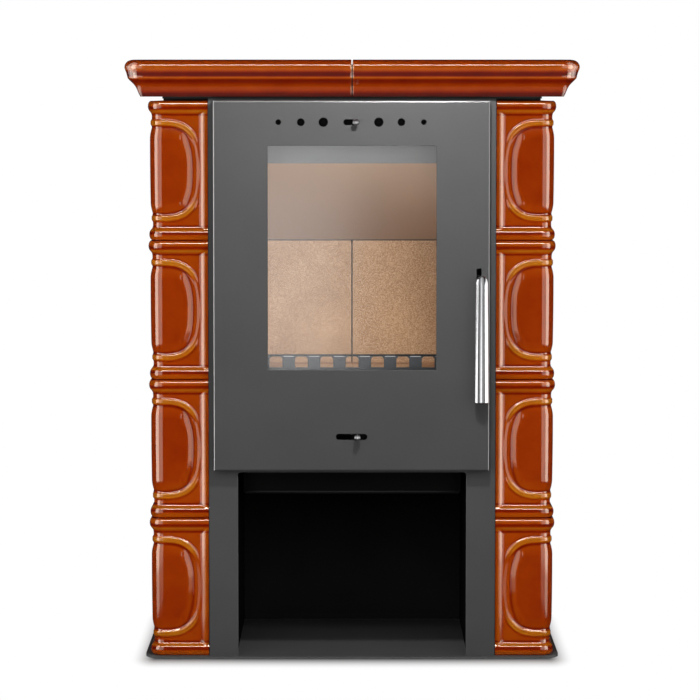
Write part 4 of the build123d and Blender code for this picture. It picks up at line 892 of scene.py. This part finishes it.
def door_skin():
    """The door's pressed front sheet: folded rim, view opening, round air holes and slots."""
    bm = bmesh.new()
    middle = (sum(SKIN_X) / 2, sum(SKIN_Z) / 2)
    wide, tall = (SKIN_X[1] - SKIN_X[0]) / 2, (SKIN_Z[1] - SKIN_Z[0]) / 2
    rim = flat_loop(bm, 4, middle, wide - SKIN_FOLD, tall - SKIN_FOLD)
    view_middle = (0.0, sum(VIEW_Z) / 2)
    view = flat_loop(bm, 4, view_middle, VIEW_X + VIEW_FOLD, (VIEW_Z[1] - VIEW_Z[0]) / 2 + VIEW_FOLD)
    cuts = [flat_loop(bm, HOLE_SIDES, (AIR_MIDDLE + side * away, AIR_LEVEL), radius, radius)
            for away, radius in AIR_HOLES for side in (-1, 1)]
    for x, z, stretch, radius in (TOP_CUT, LOW_CUT):
        cuts.append(flat_loop(bm, SLOT_SIDES, (x, z), radius, radius, stretch))
    cuts.append(flat_loop(bm, 4, LEVER_CUT, *LEVER_CUT_HALF))
    bmesh.ops.triangle_fill(bm, use_beauty=True, use_dissolve=False, edges=bm.edges[:], normal=(0, -1, 0))
    fold_back(bm, rim, middle, 1, SKIN_FOLD, SKIN_BACK - SKIN_FACE)
    fold_back(bm, view, view_middle, -1, VIEW_FOLD, VIEW_DEEP)
    for cut in cuts:
        made = bmesh.ops.extrude_edge_only(bm, edges=open_edges(bm, cut))
        bmesh.ops.translate(bm, verts=new_verts(made), vec=Vector((0, HOLE_DEEP, 0)) * MM)
    for face in bm.faces:
        face.smooth = abs(face.normal.y) < 0.999 and face.calc_center_median().y < (SKIN_FACE + SKIN_FOLD) * MM
    for edge in bm.edges:
        run = edge.verts[1].co - edge.verts[0].co
        if abs(run.x) > MITRE and abs(run.z) > MITRE and abs(run.y) > SAME:
            edge.smooth = False
    return new_piece("door_skin", bm, "grey_paint", body_of["door_leaf"])


def paint_shade_in_holes(obj):
    """The insides of the air holes and slots are painted black, as painted shade."""
    obj.data.materials.append(finishes["soot_black"])
    for face in obj.data.polygons:
        centre = face.center / MM
        from_middle = abs(centre.x - AIR_MIDDLE)
        above = centre.z - AIR_LEVEL
        in_row = abs(above) < SHADE_ROW and any(
            sqrt((from_middle - away) ** 2 + above ** 2) < radius + SHADE_ROUND
            for away, radius in (*AIR_HOLES, SHADE_TOP_CUT))
        in_slot = abs(centre.z - LOW_CUT[1]) < SHADE_LOW_CUT[1] and from_middle < SHADE_LOW_CUT[0]
        if (in_row or in_slot) and abs(face.normal.y) < STEEP:
            face.material_index = 1


def gloss_and_lighten_folds(obj):
    """The skin's rolled sides and top are smoother than its face, and a little lighter as a painted highlight."""
    obj.data.materials.append(finishes["fold_paint"])
    for face in obj.data.polygons:
        place = face.center / MM
        at_side = not SKIN_X[0] + FOLD_REACH < place.x < SKIN_X[1] - FOLD_REACH
        if face.use_smooth and (at_side or place.z > SKIN_Z[1] - FOLD_REACH):
            face.material_index = 2


skin = door_skin()
paint_shade_in_holes(skin)
gloss_and_lighten_folds(skin)
paint_shade_in_holes(nodes["door_leaf"])


def strip_piece(name, strips, finish, node, look=None):
    """A piece of thin strips that stand across the stove, each an x range, a z range, a y and a depth in mm."""
    bm = bmesh.new()
    for x, z, y, depth in strips:
        made = bmesh.ops.create_grid(bm, x_segments=1, y_segments=1, size=1, matrix=Matrix.Rotation(pi / 2, 4, "X"))
        for vert in made["verts"]:
            vert.co = Vector((x[vert.co.x > 0], y, z[vert.co.z > 0])) * MM
        back = bmesh.ops.extrude_face_region(bm, geom=[made["verts"][0].link_faces[0]])
        bmesh.ops.translate(bm, verts=new_verts(back), vec=Vector((0, depth, 0)) * MM)
    return new_piece(name, bm, finish, body_of[node], look)


LIP_START = (-173.0, -176.0, 264.0)
LIP_LENGTH = 346.0
LIP_R = 1.3
LIP_SIDES = 14


def niche_lip():
    """The rolled lower lip of the sheet across the top of the niche."""
    bm = bmesh.new()
    made = bmesh.ops.create_circle(bm, cap_ends=True, segments=LIP_SIDES, radius=LIP_R * MM,
                                   matrix=Matrix.Rotation(pi / 2, 4, "Y"))
    bmesh.ops.translate(bm, verts=made["verts"], vec=Vector(LIP_START) * MM)
    drawn = bmesh.ops.extrude_face_region(bm, geom=bm.faces[:])
    bmesh.ops.translate(bm, verts=new_verts(drawn), vec=Vector((LIP_LENGTH, 0, 0)) * MM)
    for face in bm.faces:
        face.smooth = len(face.verts) == 4
    return new_piece("niche_lip", bm, "black_paint", body_of["niche_liner"])


# the log guard's posts: their pitch, half of the gap between two, and where the outer ones end
GUARD_PITCH = 40.3
GUARD_GAP = 11.9
GUARD_END = 158.5
# painted highlight strips along the tops of the guard's posts
guard_top_highlights = []
for index in range(-4, 4):
    low, high = index * GUARD_PITCH + GUARD_GAP, (index + 1) * GUARD_PITCH - GUARD_GAP
    guard_top_highlights.append(((max(low, -GUARD_END), min(high, GUARD_END)), (480.9, 482.2), -190.35, 0.35))

# a dark strip in the joint between the back boards, and a painted shadow line under the baffle's lower edge
strip_piece("seam_paper",
            (((-1.1, 1.1), (447.0, 651.6), 135.1, 0.4), ((-184.0, 184.0), (651.6, 654.0), 134.9, 0.6)),
            "seal_fibre", "baffle", "soot_black")
# a near-black sheet close behind the door's holes, painted shade seen through them
strip_piece("slide_shade", (((-126.0, 123.0), (844.6, 861.4), -218.9, 0.15),),
            "black_paint", "top_slider", "soot_black")
# the log guard's folded lip, painted near-black as painted shade, and painted highlights along the tops of its
# posts
strip_piece("guard_lip", (((-159.0, 159.0), (482.8, 484.6), -190.6, 0.6),),
            "heat_steel", "log_guard", "soot_black")
strip_piece("guard_edges", guard_top_highlights, "bare_steel", "log_guard")
# the sheet across the top of the niche, painted near-black as painted shade
strip_piece("niche_lintel", (((-173.0, 173.0), (264.0, 297.5), -176.8, 1.2),),
            "black_paint", "niche_liner", "soot_black")
niche_lip()
# painted highlights along the edges of the frame's sheet beside the niche
strip_piece("niche_edges",
            (((-182.4, -181.2), (5.0, 292.0), -206.25, 0.4), ((181.2, 182.2), (5.0, 292.0), -206.25, 0.4)),
            "grey_paint", "front_frame", "worn_paint")


# ---------- studio
LAMP_AWAY = 2.6  # how far the side lamps stand from the point they face
LAMP_Y = -0.2


def soft_box(name, place, aim, width, height, strength, use="both"):
    """A rectangular lamp facing a point, for light, for gloss or for both."""
    lamp = bpy.data.lights.new(name, "AREA")
    lamp.shape = "RECTANGLE"
    lamp.size, lamp.size_y = width, height
    lamp.energy = strength * width * height * pi
    obj = add_object(name, lamp)
    obj.location = place
    obj.rotation_euler = (Vector(aim) - Vector(place)).to_track_quat("-Z", "Y").to_euler()
    obj.visible_diffuse = use != "gloss"
    obj.visible_glossy = use != "light"
    obj.visible_transmission = False
    return obj


def side_lamp(name, azimuth, width, low, high, strength, use):
    """A standing soft box at an angle from straight in front; one for gloss may reach below the floor."""
    turn = radians(azimuth)
    middle = (low + high) / 2
    return soft_box(name, (LAMP_AWAY * sin(turn), LAMP_Y - LAMP_AWAY * cos(turn), middle), (0, LAMP_Y, middle),
                    width, high - low, strength, use)


def light_only(name, lit, lamps):
    """Keeps lamps' light to some of the pieces."""
    group = bpy.data.collections.new(name)
    for piece in lit:
        group.objects.link(piece)
    for lamp in lamps:
        lamp.light_linking.receiver_collection = group


def light_all_but(name, piece, lamps):
    """Takes lamps off a piece that they can't change, so that its own lamps are sampled more often."""
    light_only(name, [piece], lamps)
    bpy.data.collections[name].collection_objects[0].light_linking.link_state = "EXCLUDE"


gloss_lamps = []
edge_lamps = []
room_lamps = []
for side, name in ((-1, "left"), (1, "right")):
    room_lamps.append(side_lamp(f"{name}_light", side * 45, 1.6, 0.0, 1.6, 3.8, "light"))
    for part, low, high, share in (("", -0.20, 2.4, 1.0), ("_foot", -0.36, -0.20, 0.42)):
        gloss_lamps.append(side_lamp(f"{name}_box{part}", side * 30, 1.60, low, high, 2.5 * share, "gloss"))
        gloss_lamps.append(side_lamp(f"{name}_strip{part}", side * 62, 1.3, low, high, 8.2 * share, "gloss"))
    edge_lamps.append(side_lamp(f"{name}_edge", side * 92, 2.6, -0.8, 1.45, 2.4, "gloss"))
gloss_lamps.append(soft_box("top_line", (0, -2.6, 2.55), (0, -0.2, 0.6), 3.0, 0.28, 42.0, "gloss"))
light_only("glazed_only", glazed, gloss_lamps)
tiles = [obj for obj in glazed if "tile" in obj.name]
light_only("crown_only", [obj for obj in glazed if obj not in tiles],
           [side_lamp("left_crown_box", -78, 2.4, -2.6, 5.0, 3.4, "gloss"),
            side_lamp("right_crown_box", 78, 2.4, -2.6, 5.0, 3.4, "gloss"),
            soft_box("cove_box", (0, -2.4, -0.9), (0, -0.2, 0.9), 5.0, 2.4, 0.24, "gloss")])
light_only("all_but_tiles",
           [obj for obj in (*glazed, *nodes.values(), *knobs, skin)
            if obj not in tiles and obj.name in bpy.context.scene.objects],
           edge_lamps)
room_lamps.append(soft_box("top_box", (0, -2.6, 2.6), (0, -0.2, 0.6), 2.8, 0.32, 10.0, "light"))
room_lamps.append(soft_box("fire_room_box", (0, -0.16, 0.80), (0, 0.1, 0.55), 0.26, 0.03, 1.2, "light"))
light_all_but("all_but_pane", nodes["glass_pane"], room_lamps)
light_only("pane_only", [nodes["glass_pane"]],
           [soft_box("veil_box", (-0.225, -2.8, 0.45), (-0.225, -0.2, 0.45), 0.45, 0.50, 4.6, "gloss"),
            soft_box("veil_high_box", (-0.225, -2.8, 0.95), (-0.225, -0.2, 0.95), 0.45, 0.50, 2.6, "gloss"),
            soft_box("haze_box", (0, -2.8, 1.02), (0, -0.2, 1.02), 2.0, 0.68, 2.3, "gloss")])
light_only("front_only", [nodes["front_frame"], nodes["door_leaf"], nodes["base_plate"], skin],
           [soft_box("wash_box", (0.12, -0.75, 1.25), (0.02, -0.2, 0.75), 0.10, 0.10, 390.0)])
BOARDS = ("back_board_left", "back_board_right", "side_board_left", "side_board_right", "floor_bricks")
light_only("boards_only", [nodes[name] for name in BOARDS],
           [soft_box("lining_box", (0.15, -1.6, 0.66), (0.0, 0.1, 0.54), 0.5, 0.4, 29.0, "light")])
light_only("baffle_only", [nodes["baffle"]],
           [soft_box("baffle_box", (0.15, -1.6, 0.70), (0.0, 0.0, 0.70), 0.4, 0.3, 14.0, "light")])
light_only("fold_only", [skin],
           [side_lamp("left_fold_box", -84, 0.9, -0.6, 1.6, 16.0, "gloss"),
            side_lamp("right_fold_box", 84, 0.9, -0.6, 1.6, 6.0, "gloss"),
            soft_box("top_fold_box", (0, -1.5, 3.0), (0, -0.2, 0.88), 2.0, 0.6, 9.0, "gloss")])
light_only("frame_only", [nodes["front_frame"]],
           [soft_box("frame_box", (-0.6, -1.2, 0.85), (-0.1, -0.2, 0.7), 0.3, 0.8, 6.0, "light")])
light_only("niche_only", [nodes["niche_liner"]],
           [soft_box("niche_box", (0, -1.3, 0.62), (0, -0.15, 0.0), 0.5, 0.5, 22.0, "light")])
light_only("foot_only", [nodes["base_plate"]],
           [soft_box("foot_box", (0, -2.0, 0.5), (0, -0.2, 0.0), 1.6, 0.3, 14.0, "light")])
for side, name in ((-1, "left"), (1, "right")):
    light_only(f"{name}_rear_only",
               [obj for obj in bpy.context.scene.objects if obj.type == "MESH" and obj is not nodes["glass_pane"]],
               [soft_box(f"{name}_rear_box", (side * 1.8, 2.4, 1.5), (0, 0.2, 0.5), 1.2, 1.2, 4.0, "light")])
light_only("bar_only", [nodes["handle_bar"], *knobs],
           [soft_box("bar_low_box", (0.31, -2.8, -0.03), (0.2, -0.2, 0.5), 0.9, 0.9, 1.6, "gloss"),
            soft_box("bar_high_box", (0.31, -2.8, 0.85), (0.2, -0.2, 0.6), 0.9, 0.86, 0.6, "gloss"),
            soft_box("bar_fill_box", (0.31, -3.0, 0.6), (0.2, -0.2, 0.6), 5.0, 3.0, 0.42, "gloss")])


def seen_rays(tree):
    """1 for the rays that see the white studio: the camera's, straight and through glass."""
    rays = tree.nodes.new("ShaderNodeLightPath")
    return calculate(tree, "MAXIMUM", rays.outputs["Is Camera Ray"], rays.outputs["Is Transmission Ray"])


FLOOR_HALF = 30  # m
FLOOR_SHADOW = (0.312, 0.203, 0)  # half sizes of the rectangle that the painted shadow fades away from, m
SHADOW_FADE = (24.0, 9.5, 0)  # how fast it fades to the sides and to the front, per m
SHADOW_GREYS = ((0.0, 0.03), (0.12, 0.20), (0.35, 0.50), (0.9, 0.85))


def floor_finish():
    """White, with a painted narrow shadow round the stove's foot; glossy rays pass through it."""
    material, tree, shader = new_material("pale_floor")
    shader.inputs["Roughness"].default_value = 0.9
    shader.inputs["Specular IOR Level"].default_value = 0.0
    outward = vector_step(tree, "ABSOLUTE", tree.nodes.new("ShaderNodeTexCoord").outputs["Object"])
    beyond = vector_step(tree, "MAXIMUM", vector_step(tree, "SUBTRACT", outward, FLOOR_SHADOW))
    away = vector_step(tree, "LENGTH", vector_step(tree, "MULTIPLY", beyond, SHADOW_FADE))
    shade = ramp(tree, away, [(place, (grey, grey, grey)) for place, grey in SHADOW_GREYS])
    tree.links.new(shade, shader.inputs["Base Color"])
    far = add_node(tree, "ShaderNodeMapRange", interpolation_type="SMOOTHSTEP")
    tree.links.new(away, far.inputs["Value"])
    glow = add_node(tree, "ShaderNodeEmission", Strength=1.0)
    white = mix_shaders(tree, calculate(tree, "MULTIPLY", seen_rays(tree), far.outputs[0]),
                        shader.outputs[0], glow.outputs[0])
    clear = tree.nodes.new("ShaderNodeBsdfTransparent")
    rays = tree.nodes.new("ShaderNodeLightPath")
    both = mix_shaders(tree, rays.outputs["Is Glossy Ray"], white, clear.outputs[0])
    tree.links.new(both, tree.nodes["Material Output"].inputs["Surface"])
    return material


def studio_floor():
    """The floor that the stove stands on."""
    bm = bmesh.new()
    bmesh.ops.create_grid(bm, x_segments=1, y_segments=1, size=FLOOR_HALF)
    floor = add_object("studio_floor", finished_mesh(bm, "studio_floor", floor_finish()))


def studio_world():
    """White behind the stove, an even low light on it, and a dark room for its gloss."""
    world = bpy.data.worlds.new("studio_world")
    bpy.context.scene.world = world
    world.use_nodes = True
    tree = world.node_tree
    even = tree.nodes["Background"]
    even.inputs["Strength"].default_value = 0.15
    dark = add_node(tree, "ShaderNodeBackground", Strength=0.02)
    white = add_node(tree, "ShaderNodeBackground", Strength=1.0)
    for background in (even, dark, white):
        background.inputs["Color"].default_value = (1, 1, 1, 1)
    rays = tree.nodes.new("ShaderNodeLightPath")
    unseen = mix_shaders(tree, rays.outputs["Is Glossy Ray"], even.outputs[0], dark.outputs[0])
    both = mix_shaders(tree, seen_rays(tree), unseen, white.outputs[0])
    tree.links.new(both, tree.nodes["World Output"].inputs["Surface"])


studio_floor()
studio_world()

CAMERA_DOWN = 4.36  # degrees
camera = bpy.data.cameras.new("studio_camera")
camera.lens = 172.6
camera.sensor_width = 36.0
camera.clip_end = 100
camera_object = add_object("studio_camera", camera)
camera_object.location = (-0.0033, -5.506, 0.897)
camera_object.rotation_euler = (radians(90 - CAMERA_DOWN), 0, 0)
bpy.context.scene.camera = camera_object

bpy.context.scene.view_settings.view_transform = "Standard"
